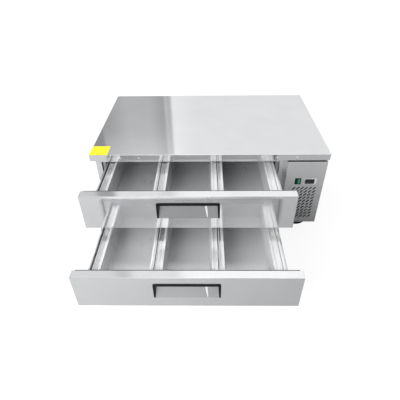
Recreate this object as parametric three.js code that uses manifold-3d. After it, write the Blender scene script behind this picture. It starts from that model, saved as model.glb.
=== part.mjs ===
// Refrigerated chef base with two open drawers, machine compartment and swivel casters.
// Millimetres, +Z up, the front faces -Y. Driving dimensions first, then one function per piece.
// Pieces are drawn in the cabinet's own frame: x from the middle of the worktop, y from its front
// edge towards the back, z from the floor. Drawers are drawn closed and slid out by their opening.

import * as THREE from 'three';
import { mergeVertices } from 'three/addons/utils/BufferGeometryUtils.js';
import Module from 'manifold-3d';

const wasm = await Module();
wasm.setup();

// General clearances and sheets
const gap = 0.3;
const overrun = 5;
const lap = 0.5;
const sheet = 1.2;

// Worktop
const topWidth = 1324;
const topDepth = 838;
const topEdge = 39;
const topSheet = 1.5;

// Yellow film on the front left corner of the worktop, let in so that the worktop stays one flat face
const filmWidth = 100;
const filmDepth = 98;
const filmThickness = 0.5;
const filmInset = 1;

// Cabinet body
const leftOverhang = 12;
const rightOverhang = 6;
const backOverhang = 6;
const sealSetback = 52;
const baseSheet = 2;
const frameSheet = 1.5;
const machineWidth = 221;
const partitionOffset = 2;

// Cold box
const openingLap = 30.5;
const sealLap = 24;
const mullionEase = 1;
const sillHeight = 40;
const linerSheet = 1;
const backInsulation = 54;

// Drawer fronts
const frontHeight = 206;
const frontThickness = 45;
const frontInset = 1;
const frontSideGap = 4;
const frontDrop = 52;
const frontSpacing = 18;
const frontFoot = 4;
const gasketInset = 13;
const gasketWidth = 12;
const gasketThickness = 5.7;
const upperTravelLeft = 342;
const lowerTravelLeft = 22;

// Recessed handles
const handleWidth = 320;
const handleHeight = 98;
const handleDrop = 41;
const trimBar = 16;
const trimLeg = 13;
const trimLegFoot = 8;
const trimCorner = 9;
const trimProud = 2.3;
const trimHook = 12;
const trimHookSheet = 3;
const pocketDepth = 28;
const pocketFlat = 30;
const pocketLap = 6;
const pocketSheet = 1.2;

// Drawer frames and trays
const frameDrop = 30;
const framePlate = 2;
const frameWallHeight = 60;
const grooveWidth = 17;
const grooveLip = 10;
const innerWallRise = 3;
const innerWallThickness = 3;
const bayEdge = 18.5;
const dividerWidth = 62.5;
const bayFrontSetback = 34;
const bayBackSetback = 34;
const bayCorner = 22;
const trayDepth = 100;
const trayRim = 14;
const trayRimThickness = 1.6;
const traySheet = 1;
const dividerSlot = 8;
const dividerRidge = 4;
const dividerWeb = 32;
const dividerEdge = 2;

// Telescopic slides
const slideStart = 56;
const slideBackRoom = 72;
const slideSideRoom = 35.5;
const frameShortfall = 10;
const slideHeight = 46;
const slideDrop = 10;
const slideSheet = 1.2;
const slideThickness = 13;
const slideClearance = 0.6;
const slideFlange = 9;
const postDepth = 34;
const postSheet = 2;
const postShares = [0.04, 0.5, 0.96];

// Machine cover with its slots
const coverDrop = 50;
const slotLength = 27;
const slotWidth = 6.5;
const slotPitchX = 23.8;
const slotPitchZ = 21.8;
const slotSlope = Math.PI / 4;
const slotFieldInset = 55.5;
const slotFieldEnd = 44;
const slotFieldDrop = 178;
const slotFieldFoot = 36;

// Rear grille and mains inlet
const louvreHeight = 6;
const louvrePitch = 18;
const louvreMargin = 32;
const louvreFieldRise = 160;
const louvreFieldDrop = 122;
const inletWidth = 50;
const inletHeight = 28;
const inletBarrel = 22;
const inletFlange = 6;
const inletFlangeThickness = 2;
const inletRise = 70;
const inletSocketWidth = 24;
const inletSocketHeight = 16;
const inletSocketDepth = 16;

// Controls
const switchInset = 72;
const controlsDrop = 128;
const switchWidth = 34;
const switchHeight = 40;
const switchFlange = 2;
const switchBarrelWidth = 28;
const switchBarrelHeight = 36;
const switchBarrelDepth = 24;
const rockerWidth = 21;
const rockerHeight = 30;
const rockerPivotDepth = 4;
const rockerPin = 1.8;
const rockerPinReach = 1.8;
const rockerFloorDepth = 14;
const rockerProud = 3;
const rockerValley = 1.5;
const rockerBack = 7;
const rockerClearance = 1;
const rockerEndClearance = 2;
const rockerTilt = Math.PI / 18;
const thermostatInset = 140.5;
const thermostatWidth = 76;
const thermostatHeight = 38;
const thermostatFlange = 4;
const thermostatBodyWidth = 70;
const thermostatBodyHeight = 29;
const thermostatBodyDepth = 44;
const windowWidth = 58;
const windowHeight = 28;
const windowRecess = 1.5;
const controlClearance = 0.5;

// Compressor
const compressorRadius = 75;
const compressorShift = 3.1;
const compressorSetback = 112;
const compressorFoot = 26;
const compressorDome = 180;
const domeTopRadius = 16;
const seamFlange = 5;
const seamHeight = 8;
const seamRise = 95;
const footPlate = 4;
const footSpan = 166;

// Condenser and its fan
const coilSideRoom = 13.9;
const coilHeight = 236;
const coilDepth = 50;
const coilSetback = 74;
const coilRise = 8;
const finGrooves = 7;
const finGrooveWidth = 6;
const finGrooveDepth = 14;
const mountSheet = 3;
const mountStand = 34;
const shroudMargin = 7;
const motorRadius = 32;
const motorLength = 46;
const motorArm = 12;
const fanTipGap = 8;
const fanHub = 22;
const fanDepth = 18;
const fanSheet = 3;
const fanBlades = 4;
const bladeWidthShare = 1.6;
const fanPitch = Math.PI / 7;

// Evaporator and its fan
const evaporatorWidth = 300;
const evaporatorHeight = 150;
const evaporatorDepth = 72;
const evaporatorInset = 12;
const evaporatorRise = 14;
const evaporatorBell = 58;
const evaporatorWell = 34;
const evaporatorFanRadius = 52;
const evaporatorFanDepth = 12;
const evaporatorHub = 16;
const evaporatorFins = 5;
const evaporatorFinDepth = 10;

// Refrigerant lines
const suctionRadius = 6;
const suctionRise = 60;
const suctionSleeve = 1;
const dischargeRadius = 4;
const dischargeLift = 70;
const dischargeBend = 22;
const dischargeTarget = 20;
const dischargeStep = 20;

// Casters
const wheelRadius = 63.5;
const wheelWidth = 32;
const casterInsetX = 94;
const casterInsetFront = 110;
const casterInsetBack = 94;
const casterTrail = 30;
const plateSize = 90;
const plateThickness = 4;
const swivelRadius = 28;
const swivelHeight = 15;
const forkDisc = 25;
const forkDiscHeight = 3.4;
const forkSheet = 3;
const forkClearance = 2;
const forkFootRadius = 14;
const axleRadius = 5;
const axleHead = 9;
const axleHeadHeight = 5;
const axleClearance = 0.4;
const hubRadius = 20;
const hubRecess = 4;
const treadRound = 5;

// Facets of the round pieces, and of each quarter turn of a corner or half turn of a slot
const wheelFacets = 32;
const roundFacets = 24;
const boreFacets = 16;
const boltFacets = 6;
const cornerFacets = 3;
const slotFacets = 2;

// Lines worked out from the sizes
const casterHeight = 2 * wheelRadius + forkClearance + forkDiscHeight + gap + swivelHeight
  + plateThickness + gap;
const bodyHeight = frontDrop + 2 * frontHeight + frontSpacing + frontFoot;
const topZ = casterHeight + bodyHeight;
const bodyLeft = -topWidth / 2 + leftOverhang;
const bodyRight = topWidth / 2 - rightOverhang;
const bodyBack = topDepth - backOverhang;
const bodyBottom = casterHeight;
const sealY = sealSetback;
const machineLeft = bodyRight - machineWidth;
const partitionRight = machineLeft + partitionOffset;
const floorZ = bodyBottom + baseSheet + gap;
const roofZ = topZ - topSheet - gap;
const skinBack = bodyBack - sheet - gap;
const frontLeft = bodyLeft + frontInset;
const frontWidth = machineLeft - frontSideGap - frontLeft;
const openingWidth = frontWidth - 2 * openingLap;
const drawerX = frontLeft + frontWidth / 2;
const openingLeft = drawerX - openingWidth / 2;
const openingRight = drawerX + openingWidth / 2;
const ceilingZ = topZ - frontDrop - sealLap;
const coldFloorZ = bodyBottom + sillHeight;
const mullionTop = topZ - frontDrop - frontHeight + sealLap;
const mullionBottom = mullionTop - frontSpacing - 2 * sealLap - mullionEase;
const coldBackY = bodyBack - backInsulation;
const coldFrontY = sealY + frameSheet + gap;
const frontFaceY = sealY - gap - gasketThickness - gap - frontThickness;
const frontBackY = frontFaceY + frontThickness;
const upperTopZ = topZ - frontDrop;
const lowerTopZ = upperTopZ - frontHeight - frontSpacing;
const coverTopZ = topZ - coverDrop;
const coverBackY = sealY - gap;
const machineX = (partitionRight + bodyRight - sheet) / 2;
const slideLength = coldBackY - slideStart - slideBackRoom;
const upperOpening = slideLength - upperTravelLeft;
const lowerOpening = slideLength - lowerTravelLeft;
const frameLength = slideLength - frameShortfall;
const frameHalfWidth = openingWidth / 2 - slideSideRoom;
const channelInner = frameHalfWidth - grooveWidth;
const bayPitch = (2 * channelInner - bayEdge) / 3;
const bayWidth = bayPitch - dividerWidth;

// Finishes
function finish(color, roughness, metalness) {
  return new THREE.MeshStandardMaterial({ color, roughness, metalness });
}

const steel = finish(0xc9cacb, 0.28, 1);
const innerSteel = finish(0xb4b6b8, 0.35, 1);
const zinc = finish(0xb9bcc0, 0.4, 1);
const foam = finish(0xe6dfc4, 0.9, 0);
const seal = finish(0x3c3d3f, 0.7, 0);
const blackPlastic = finish(0x17181a, 0.45, 0);
const palePlastic = finish(0xd0d1d3, 0.4, 0);
const greenPlastic = finish(0x1f9a6a, 0.3, 0);
const blackPaint = finish(0x1b1c1e, 0.5, 0.2);
const alloy = finish(0xc4c8cc, 0.35, 1);
const copper = finish(0xb9704a, 0.35, 1);
const tyre = finish(0x1c1c1d, 0.6, 0);
const film = finish(0xffff28, 0.4, 0);

const part = new THREE.Group();

// Solids and boolean helpers
function solid(geometry) {
  const bare = geometry.clone();
  bare.deleteAttribute('normal');
  bare.deleteAttribute('uv');
  const merged = mergeVertices(bare);
  return new wasm.Manifold(new wasm.Mesh({
    numProp: 3,
    vertProperties: new Float32Array(merged.attributes.position.array),
    triVerts: new Uint32Array(merged.index.array),
  }));
}

function geometryOf(body) {
  const mesh = body.getMesh();
  const geometry = new THREE.BufferGeometry();
  geometry.setAttribute('position', new THREE.BufferAttribute(mesh.vertProperties, 3));
  geometry.setIndex(new THREE.BufferAttribute(mesh.triVerts, 1));
  const flat = geometry.toNonIndexed();
  flat.computeVertexNormals();
  return flat;
}

function place(name, body, material, parent = part) {
  const mesh = new THREE.Mesh(geometryOf(body), material);
  mesh.name = name;
  parent.add(mesh);
  return mesh;
}

function box(x0, x1, y0, y1, z0, z1) {
  const geometry = new THREE.BoxGeometry();
  const corners = geometry.attributes.position;
  for (let index = 0; index < corners.count; index += 1) {
    corners.setXYZ(index, corners.getX(index) > 0 ? x1 : x0, corners.getY(index) > 0 ? y1 : y0,
      corners.getZ(index) > 0 ? z1 : z0);
  }
  return solid(geometry);
}

function join(bodies) {
  return bodies.reduce((whole, body) => whole.add(body));
}

function less(body, cutters) {
  return cutters.reduce((whole, cutter) => whole.subtract(cutter), body);
}

// A cylinder along X, Y or Z from one place on that axis to another
function rod(axis, radius, from, to, u, v, facets = roundFacets) {
  const geometry = new THREE.CylinderGeometry(radius, radius, to - from, facets);
  const middle = (from + to) / 2;
  if (axis === 'x') {
    geometry.rotateZ(-Math.PI / 2);
    geometry.translate(middle, u, v);
  } else if (axis === 'y') {
    geometry.translate(u, middle, v);
  } else {
    geometry.rotateX(Math.PI / 2);
    geometry.translate(u, v, middle);
  }
  return solid(geometry);
}

function polygon(points) {
  return new THREE.Shape(points.map(([u, v]) => new THREE.Vector2(u, v)));
}

function extruded(shape, depth) {
  return new THREE.ExtrudeGeometry(shape, { depth, bevelEnabled: false, curveSegments: cornerFacets });
}

// An outline in (y, z), drawn out along X
function prismX(shape, x0, x1) {
  const geometry = extruded(shape, x1 - x0);
  const basis = new THREE.Matrix4().makeBasis(
    new THREE.Vector3(0, 1, 0), new THREE.Vector3(0, 0, 1), new THREE.Vector3(1, 0, 0));
  geometry.applyMatrix4(basis);
  geometry.translate(x0, 0, 0);
  return solid(geometry);
}

// An outline in (x, z), drawn out along Y
function prismY(shape, y0, y1) {
  const geometry = extruded(shape, y1 - y0);
  geometry.rotateX(Math.PI / 2);
  geometry.translate(0, y1, 0);
  return solid(geometry);
}

// An outline in (x, y), drawn out along Z
function prismZ(shape, z0, z1) {
  const geometry = extruded(shape, z1 - z0);
  geometry.translate(0, 0, z0);
  return solid(geometry);
}

function roundedRect(x0, x1, y0, y1, radius) {
  const shape = new THREE.Shape();
  shape.absarc(x1 - radius, y1 - radius, radius, 0, Math.PI / 2);
  shape.absarc(x0 + radius, y1 - radius, radius, Math.PI / 2, Math.PI);
  shape.absarc(x0 + radius, y0 + radius, radius, Math.PI, Math.PI * 1.5);
  shape.absarc(x1 - radius, y0 + radius, radius, Math.PI * 1.5, Math.PI * 2);
  return shape;
}

// A solid of revolution about Z from points (radius, height)
function turned(points, x, y, facets = roundFacets) {
  const profile = points.map(([radius, height]) => new THREE.Vector2(radius, height));
  const geometry = new THREE.LatheGeometry(profile, facets, Math.PI / facets);
  geometry.rotateX(Math.PI / 2);
  geometry.translate(x, y, 0);
  return solid(geometry);
}

// Cabinet
function makeWorktop() {
  const half = topWidth / 2;
  const lipZ = topZ - topEdge + topSheet;
  const tray = box(-half, half, 0, topDepth, topZ - topEdge, topZ);
  const hollow = box(-half + topSheet, half - topSheet, topSheet, topDepth - topSheet,
    lipZ, topZ - topSheet);
  const mouth = box(bodyLeft - gap, bodyRight + gap, sealY - gap, bodyBack + gap,
    topZ - topEdge - overrun, lipZ + overrun);
  const filmX = -half + filmInset;
  const bedZ = topZ - filmThickness;
  const bed = box(filmX - gap, filmX + filmWidth + gap, filmInset - gap, filmInset + filmDepth + gap,
    bedZ, topZ + overrun);
  place('worktop', less(tray, [hollow, mouth, bed]), steel);
  place('corner_film', box(filmX, filmX + filmWidth, filmInset, filmInset + filmDepth, bedZ, topZ), film);
}

function makeOuterPanels() {
  const panelFront = sealY + frameSheet + gap;
  place('left_side_panel', box(bodyLeft, bodyLeft + sheet, panelFront, skinBack, floorZ, roofZ), steel);
  place('right_side_panel', box(bodyRight - sheet, bodyRight, sealY, skinBack, floorZ, roofZ), steel);
  place('back_panel', box(bodyLeft, partitionRight, bodyBack - sheet, bodyBack, floorZ, roofZ), steel);
  place('bottom_panel', box(bodyLeft, bodyRight, sealY, bodyBack,
    bodyBottom, bodyBottom + baseSheet), steel);
  place('partition_panel', box(partitionRight - sheet, partitionRight, panelFront, skinBack, floorZ, roofZ)
    .subtract(lineHole()), innerSteel);
}

function makeFrontFrame() {
  const face = box(bodyLeft, partitionRight, sealY, sealY + frameSheet, floorZ, roofZ);
  const cuts = [[mullionTop, ceilingZ], [coldFloorZ, mullionBottom]].map(([low, high]) => (
    box(openingLeft, openingRight, sealY - overrun, sealY + frameSheet + overrun, low, high)));
  place('front_frame', less(face, cuts), steel);
}

function makeColdBox() {
  const cavity = box(openingLeft, openingRight, coldFrontY - overrun, coldBackY, coldFloorZ, ceilingZ);
  const linerOuter = box(openingLeft - linerSheet, openingRight + linerSheet, coldFrontY,
    coldBackY + linerSheet, coldFloorZ - linerSheet, ceilingZ + linerSheet);
  place('inner_liner', less(linerOuter, [cavity, lineHole()]), innerSteel);

  const foamBlock = box(bodyLeft + sheet + gap, partitionRight - sheet - gap, coldFrontY, skinBack,
    floorZ, roofZ);
  const around = linerSheet + gap;
  const linerSpace = box(openingLeft - around, openingRight + around, coldFrontY - overrun,
    coldBackY + around, coldFloorZ - around, ceilingZ + around);
  place('insulation', less(foamBlock, [linerSpace, lineHole()]), foam);
}

// Drawer slides: a channel in (x, z) whose web stands away from the drawer's middle
function slideChannel(side, web, tip, inset, slideTop, y0, y1) {
  const low = slideTop - slideHeight + inset;
  const high = slideTop - inset;
  const span = (from, to, z0, z1) => {
    const a = drawerX + side * from;
    const b = drawerX + side * to;
    return box(Math.min(a, b), Math.max(a, b), y0, y1, z0, z1);
  };
  const outward = web > tip;
  const webEnd = outward ? web - slideSheet : web + slideSheet;
  return join([
    span(web, webEnd, low, high),
    span(web, tip, low, low + slideSheet),
    span(web, tip, high - slideSheet, high),
  ]);
}

const frameTops = [upperTopZ - frameDrop, lowerTopZ - frameDrop];
const rackFace = frameHalfWidth + slideThickness;
const nestStep = slideSheet + slideClearance;

function makeSlideRack(name, side) {
  const slideEnd = slideStart + slideLength;
  const channels = frameTops.map((frameTop) => (
    slideChannel(side, rackFace, rackFace - slideFlange, 0, frameTop - slideDrop, slideStart, slideEnd)));
  const near = drawerX + side * rackFace;
  const far = drawerX + side * (openingWidth / 2 - gap);
  const posts = postShares.map((share) => {
    const y = slideStart + share * slideLength;
    const post = box(Math.min(near, far), Math.max(near, far), y - postDepth / 2, y + postDepth / 2,
      coldFloorZ + gap, ceilingZ - gap);
    const inner = near + side * postSheet;
    const open = far + side * overrun;
    return post.subtract(box(Math.min(inner, open), Math.max(inner, open), y - postDepth / 2 + postSheet,
      y + postDepth / 2 - postSheet, coldFloorZ, ceilingZ));
  });
  place(name, join([...channels, ...posts]), zinc);
}

function makeSlideMiddle(name, side, frameTop, parent) {
  const web = rackFace - nestStep;
  const tip = frameHalfWidth + nestStep;
  place(name, slideChannel(side, web, tip, nestStep, frameTop - slideDrop,
    slideStart, slideStart + slideLength), zinc, parent);
}

// Drawer fronts
function handleZone(topOfFront) {
  const top = topOfFront - handleDrop;
  const half = handleWidth / 2;
  return { top, bottom: top - handleHeight, left: drawerX - half, right: drawerX + half };
}

function pocketWindow(zone) {
  return {
    left: zone.left + pocketLap,
    right: zone.right - pocketLap,
    top: zone.top - pocketLap,
    bottom: zone.bottom,
  };
}

function makeFrontShell(name, topOfFront, parent) {
  const window = pocketWindow(handleZone(topOfFront));
  const right = frontLeft + frontWidth;
  const low = topOfFront - frontHeight;
  const block = box(frontLeft, right, frontFaceY, frontBackY, low, topOfFront);
  const hollow = box(frontLeft + sheet, right - sheet, frontFaceY + sheet, frontBackY + overrun,
    low + sheet, topOfFront - sheet);
  const opening = box(window.left, window.right, frontFaceY - overrun, frontFaceY + sheet + overrun,
    window.bottom, window.top);
  place(name, less(block, [hollow, opening]), steel, parent);
}

function makeFrontLiner(name, topOfFront, parent) {
  const window = pocketWindow(handleZone(topOfFront));
  const inset = sheet + gap;
  const slab = box(frontLeft + inset, frontLeft + frontWidth - inset, frontFaceY + inset, frontBackY,
    topOfFront - frontHeight + inset, topOfFront - inset);
  const notch = box(window.left - gap, window.right + gap, frontFaceY - overrun,
    frontFaceY + pocketDepth + pocketSheet + gap, window.bottom - gap, window.top + gap);
  place(name, slab.subtract(notch), foam, parent);
}

function makeHandlePocket(name, topOfFront, parent) {
  const window = pocketWindow(handleZone(topOfFront));
  const top = window.top - gap;
  const bottom = window.bottom + gap;
  const left = window.left + gap;
  const right = window.right - gap;
  const front = frontFaceY;
  const back = frontFaceY + pocketDepth;
  const outer = polygon([
    [front, bottom], [front + pocketSheet, bottom], [back + pocketSheet, top - pocketFlat],
    [back + pocketSheet, top], [front, top],
  ]);
  const inner = polygon([
    [front - overrun, bottom + pocketSheet], [front, bottom + pocketSheet],
    [back, top - pocketFlat], [back, top - pocketSheet], [front - overrun, top - pocketSheet],
  ]);
  place(name, prismX(outer, left, right).subtract(prismX(inner, left + pocketSheet, right - pocketSheet)),
    steel, parent);
}

function makeHandleTrim(name, topOfFront, parent) {
  const zone = handleZone(topOfFront);
  const faceBack = frontFaceY - gap;
  const faceFront = faceBack - trimProud;
  const outline = new THREE.Shape();
  outline.moveTo(zone.left, zone.top - trimCorner);
  outline.absarc(zone.left + trimCorner, zone.top - trimCorner, trimCorner, Math.PI, Math.PI / 2, true);
  outline.absarc(zone.right - trimCorner, zone.top - trimCorner, trimCorner, Math.PI / 2, 0, true);
  outline.lineTo(zone.right, zone.bottom);
  outline.lineTo(zone.right - trimLegFoot, zone.bottom);
  outline.lineTo(zone.right - trimLeg, zone.top - trimBar);
  outline.lineTo(zone.left + trimLeg, zone.top - trimBar);
  outline.lineTo(zone.left + trimLegFoot, zone.bottom);
  outline.lineTo(zone.left, zone.bottom);
  const plate = prismY(outline, faceFront, faceBack);
  const hookTop = zone.top - trimBar + trimHookSheet;
  const hook = box(zone.left + trimLeg + gap, zone.right - trimLeg - gap, faceFront, faceBack + trimHook,
    zone.top - trimBar, hookTop);
  place(name, plate.add(hook), blackPlastic, parent);
}

function makeGasket(name, topOfFront, parent) {
  const left = frontLeft + gasketInset;
  const right = frontLeft + frontWidth - gasketInset;
  const high = topOfFront - gasketInset;
  const low = topOfFront - frontHeight + gasketInset;
  const front = frontBackY + gap;
  const ring = box(left, right, front, front + gasketThickness, low, high);
  const middle = box(left + gasketWidth, right - gasketWidth,
    front - overrun, front + gasketThickness + overrun, low + gasketWidth, high - gasketWidth);
  place(name, ring.subtract(middle), seal, parent);
}

// Drawer frames and trays
const bayPlaces = [-bayPitch, 0, bayPitch];
const bayFront = frontBackY + bayFrontSetback;
const frameFront = frontBackY + gap;
const frameBack = frameFront + frameLength;
const bayBack = frameBack - bayBackSetback;

function makeDrawerFrame(name, frameTop, parent) {
  const plateLow = frameTop - framePlate;
  const wallLow = frameTop - frameWallHeight;
  const windowInset = traySheet + gap + gap;
  const plate = box(drawerX - channelInner, drawerX + channelInner, frameFront, frameBack,
    plateLow, frameTop);
  const windows = bayPlaces.map((offset) => prismZ(roundedRect(
    drawerX + offset - bayWidth / 2 - windowInset, drawerX + offset + bayWidth / 2 + windowInset,
    bayFront - windowInset, bayBack + windowInset, bayCorner), plateLow - overrun, frameTop + overrun));
  const pieces = [less(plate, windows)];

  for (const side of [-1, 1]) {
    const strip = (from, to, z0, z1) => {
      const a = drawerX + side * from;
      const b = drawerX + side * to;
      return box(Math.min(a, b), Math.max(a, b), frameFront, frameBack, z0, z1);
    };
    pieces.push(strip(channelInner - innerWallThickness, channelInner, wallLow, frameTop + innerWallRise));
    pieces.push(strip(channelInner - lap, frameHalfWidth, wallLow, wallLow + framePlate));
    pieces.push(strip(frameHalfWidth - framePlate, frameHalfWidth, wallLow, frameTop));
    pieces.push(strip(frameHalfWidth - grooveLip, frameHalfWidth, plateLow, frameTop));
    pieces.push(slideChannel(side, frameHalfWidth - slideSheet, rackFace - 2 * nestStep, 2 * nestStep,
      frameTop - slideDrop, slideStart, frameBack));
  }
  for (const [y0, y1] of [[frameFront, frameFront + framePlate], [frameBack - framePlate, frameBack]]) {
    pieces.push(box(drawerX - frameHalfWidth, drawerX + frameHalfWidth, y0, y1, wallLow, frameTop));
  }

  const slots = [];
  for (const offset of [-bayPitch / 2, bayPitch / 2]) {
    const x = drawerX + offset;
    const half = dividerSlot / 2;
    for (const side of [-1, 1]) {
      const a = x + side * half;
      const b = x + side * (half + dividerEdge);
      pieces.push(box(Math.min(a, b), Math.max(a, b), frameFront, frameBack, frameTop - dividerWeb,
        frameTop + dividerRidge));
    }
    slots.push(box(x - half, x + half, bayFront, bayBack, frameTop - frameWallHeight, frameTop + overrun));
  }
  place(name, less(join(pieces), slots), steel, parent);
}

function makeTray(name, offset, frameTop, parent) {
  const x = drawerX + offset;
  const outline = (grow, radius) => roundedRect(x - bayWidth / 2 - grow, x + bayWidth / 2 + grow,
    bayFront - grow, bayBack + grow, radius);
  const rimLow = frameTop + gap;
  const rimTop = rimLow + trayRimThickness;
  const floor = rimTop - trayDepth;
  const rim = prismZ(outline(trayRim, bayCorner), rimLow, rimTop);
  const bowl = prismZ(outline(traySheet, bayCorner), floor - traySheet, rimLow + trayRimThickness / 2);
  const space = prismZ(outline(0, bayCorner - traySheet), floor, rimTop + overrun);
  place(name, rim.add(bowl).subtract(space), innerSteel, parent);
}

function makeDrawer(level, topOfFront, frameTop, opening) {
  const drawer = new THREE.Group();
  drawer.position.y = -opening;
  part.add(drawer);
  makeFrontShell(`${level}_front_shell`, topOfFront, drawer);
  makeFrontLiner(`${level}_front_liner`, topOfFront, drawer);
  makeGasket(`${level}_gasket`, topOfFront, drawer);
  makeHandleTrim(`${level}_handle_trim`, topOfFront, drawer);
  makeHandlePocket(`${level}_handle_pocket`, topOfFront, drawer);
  makeDrawerFrame(`${level}_drawer_frame`, frameTop, drawer);
  ['left', 'middle', 'right'].forEach((word, index) => (
    makeTray(`${level}_tray_${word}`, bayPlaces[index], frameTop, drawer)));

  const stage = new THREE.Group();
  stage.position.y = -opening / 2;
  part.add(stage);
  makeSlideMiddle(`${level}_slide_middle_left`, -1, frameTop, stage);
  makeSlideMiddle(`${level}_slide_middle_right`, 1, frameTop, stage);
}

// Machine compartment covers
const switchX = machineLeft + switchInset;
const thermostatX = machineLeft + thermostatInset;
const controlsZ = coverTopZ - controlsDrop;

function centredBox(x, z, width, height, y0, y1) {
  return box(x - width / 2, x + width / 2, y0, y1, z - height / 2, z + height / 2);
}

function diagonalSlot(x, z) {
  const radius = slotWidth / 2;
  const reach = slotLength / 2 - radius;
  const outline = new THREE.Shape();
  outline.absarc(reach, 0, radius, -Math.PI / 2, Math.PI / 2);
  outline.absarc(-reach, 0, radius, Math.PI / 2, Math.PI * 1.5);
  const geometry = new THREE.ExtrudeGeometry(outline,
    { depth: sheet + 2 * overrun, bevelEnabled: false, curveSegments: slotFacets });
  geometry.rotateZ(slotSlope);
  geometry.rotateX(Math.PI / 2);
  geometry.translate(x, sheet + overrun, z);
  return solid(geometry);
}

function makeMachineCover() {
  const slotColumns = 1 + Math.floor((machineWidth - slotFieldInset - slotFieldEnd) / slotPitchX);
  const slotRows = 1 + Math.floor((coverTopZ - bodyBottom - slotFieldDrop - slotFieldFoot) / slotPitchZ);
  const block = box(machineLeft, bodyRight, 0, coverBackY, bodyBottom, coverTopZ);
  const hollow = box(machineLeft + sheet, bodyRight - sheet, sheet, coverBackY + overrun,
    bodyBottom + sheet, coverTopZ - sheet);
  const cuts = [hollow];
  cuts.push(centredBox(switchX, controlsZ, switchBarrelWidth + 2 * controlClearance,
    switchBarrelHeight + 2 * controlClearance, -overrun, overrun));
  cuts.push(centredBox(thermostatX, controlsZ, thermostatBodyWidth + 2 * controlClearance,
    thermostatBodyHeight + 2 * controlClearance, -overrun, overrun));
  for (let row = 0; row < slotRows; row += 1) {
    for (let column = 0; column < slotColumns; column += 1) {
      cuts.push(diagonalSlot(machineLeft + slotFieldInset + column * slotPitchX,
        coverTopZ - slotFieldDrop - row * slotPitchZ));
    }
  }
  place('machine_cover', less(block, cuts), steel);
}

function makeRearCovers() {
  const louvreField = roofZ - floorZ - louvreFieldRise - louvreFieldDrop;
  const louvreCount = 1 + Math.floor(louvreField / louvrePitch);
  const left = partitionRight + gap;
  const plate = box(left, bodyRight, bodyBack - sheet, bodyBack, floorZ, roofZ);
  const cuts = [];
  for (let row = 0; row < louvreCount; row += 1) {
    const low = floorZ + louvreFieldRise + row * louvrePitch;
    cuts.push(box(left + louvreMargin, bodyRight - louvreMargin,
      bodyBack - sheet - overrun, bodyBack + overrun, low, low + louvreHeight));
  }
  const inletZ = floorZ + inletRise;
  cuts.push(centredBox(machineX, inletZ, inletWidth + 2 * controlClearance,
    inletHeight + 2 * controlClearance, bodyBack - sheet - overrun, bodyBack + overrun));
  place('rear_grille', less(plate, cuts), steel);

  const flangeFront = bodyBack + gap;
  const flangeBack = flangeFront + inletFlangeThickness;
  const barrel = centredBox(machineX, inletZ, inletWidth, inletHeight,
    bodyBack - inletBarrel, flangeFront + lap);
  const flange = centredBox(machineX, inletZ, inletWidth + 2 * inletFlange, inletHeight + 2 * inletFlange,
    flangeFront, flangeBack);
  const socket = centredBox(machineX, inletZ, inletSocketWidth, inletSocketHeight,
    flangeBack - inletSocketDepth, flangeBack + overrun);
  place('power_inlet', less(flange.add(barrel), [socket]), blackPlastic);
}

// Controls
function makeControls() {
  const switchFlangeBox = centredBox(switchX, controlsZ, switchWidth, switchHeight,
    -switchFlange - gap, -gap);
  const switchBarrel = centredBox(switchX, controlsZ, switchBarrelWidth, switchBarrelHeight,
    -gap - lap, switchBarrelDepth);
  const rockerWell = centredBox(switchX, controlsZ, rockerWidth + 2 * rockerClearance,
    rockerHeight + 2 * rockerEndClearance, -switchFlange - overrun, rockerFloorDepth);
  const pinHole = rod('x', rockerPin + gap, switchX - rockerWidth / 2 - rockerPinReach - gap,
    switchX + rockerWidth / 2 + rockerPinReach + gap, rockerPivotDepth, controlsZ, boreFacets);
  place('switch_bezel', less(switchFlangeBox.add(switchBarrel), [rockerWell, pinHole]), blackPlastic);

  const halfHeight = rockerHeight / 2;
  const profile = polygon([
    [-rockerProud, halfHeight], [-rockerValley, 0], [-rockerProud, -halfHeight],
    [rockerPivotDepth, -halfHeight], [rockerBack, 0], [rockerPivotDepth, halfHeight],
  ]);
  const button = prismX(profile, -rockerWidth / 2, rockerWidth / 2);
  const pins = rod('x', rockerPin, -rockerWidth / 2 - rockerPinReach, rockerWidth / 2 + rockerPinReach,
    rockerPivotDepth, 0, boreFacets);
  const rocker = place('switch_rocker', button.add(pins), greenPlastic);
  rocker.geometry.translate(0, -rockerPivotDepth, 0);
  rocker.geometry.rotateX(rockerTilt);
  rocker.geometry.translate(switchX, rockerPivotDepth, controlsZ);

  const face = centredBox(thermostatX, controlsZ, thermostatWidth, thermostatHeight,
    -thermostatFlange - gap, -gap);
  const shell = centredBox(thermostatX, controlsZ, thermostatBodyWidth, thermostatBodyHeight,
    -gap - lap, thermostatBodyDepth);
  const window = centredBox(thermostatX, controlsZ, windowWidth, windowHeight,
    -thermostatFlange - overrun, -thermostatFlange - gap + windowRecess);
  place('thermostat_case', less(face.add(shell), [window]), palePlastic);
}

// Refrigeration
const compressorX = machineX + compressorShift;
const compressorY = bodyBack - compressorSetback;
const compressorTop = floorZ + compressorFoot + compressorDome;
const suctionZ = floorZ + compressorFoot + suctionRise;

function lineHole() {
  return rod('x', suctionRadius + suctionSleeve, openingRight - overrun, partitionRight + overrun,
    compressorY, suctionZ, boreFacets);
}

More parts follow.
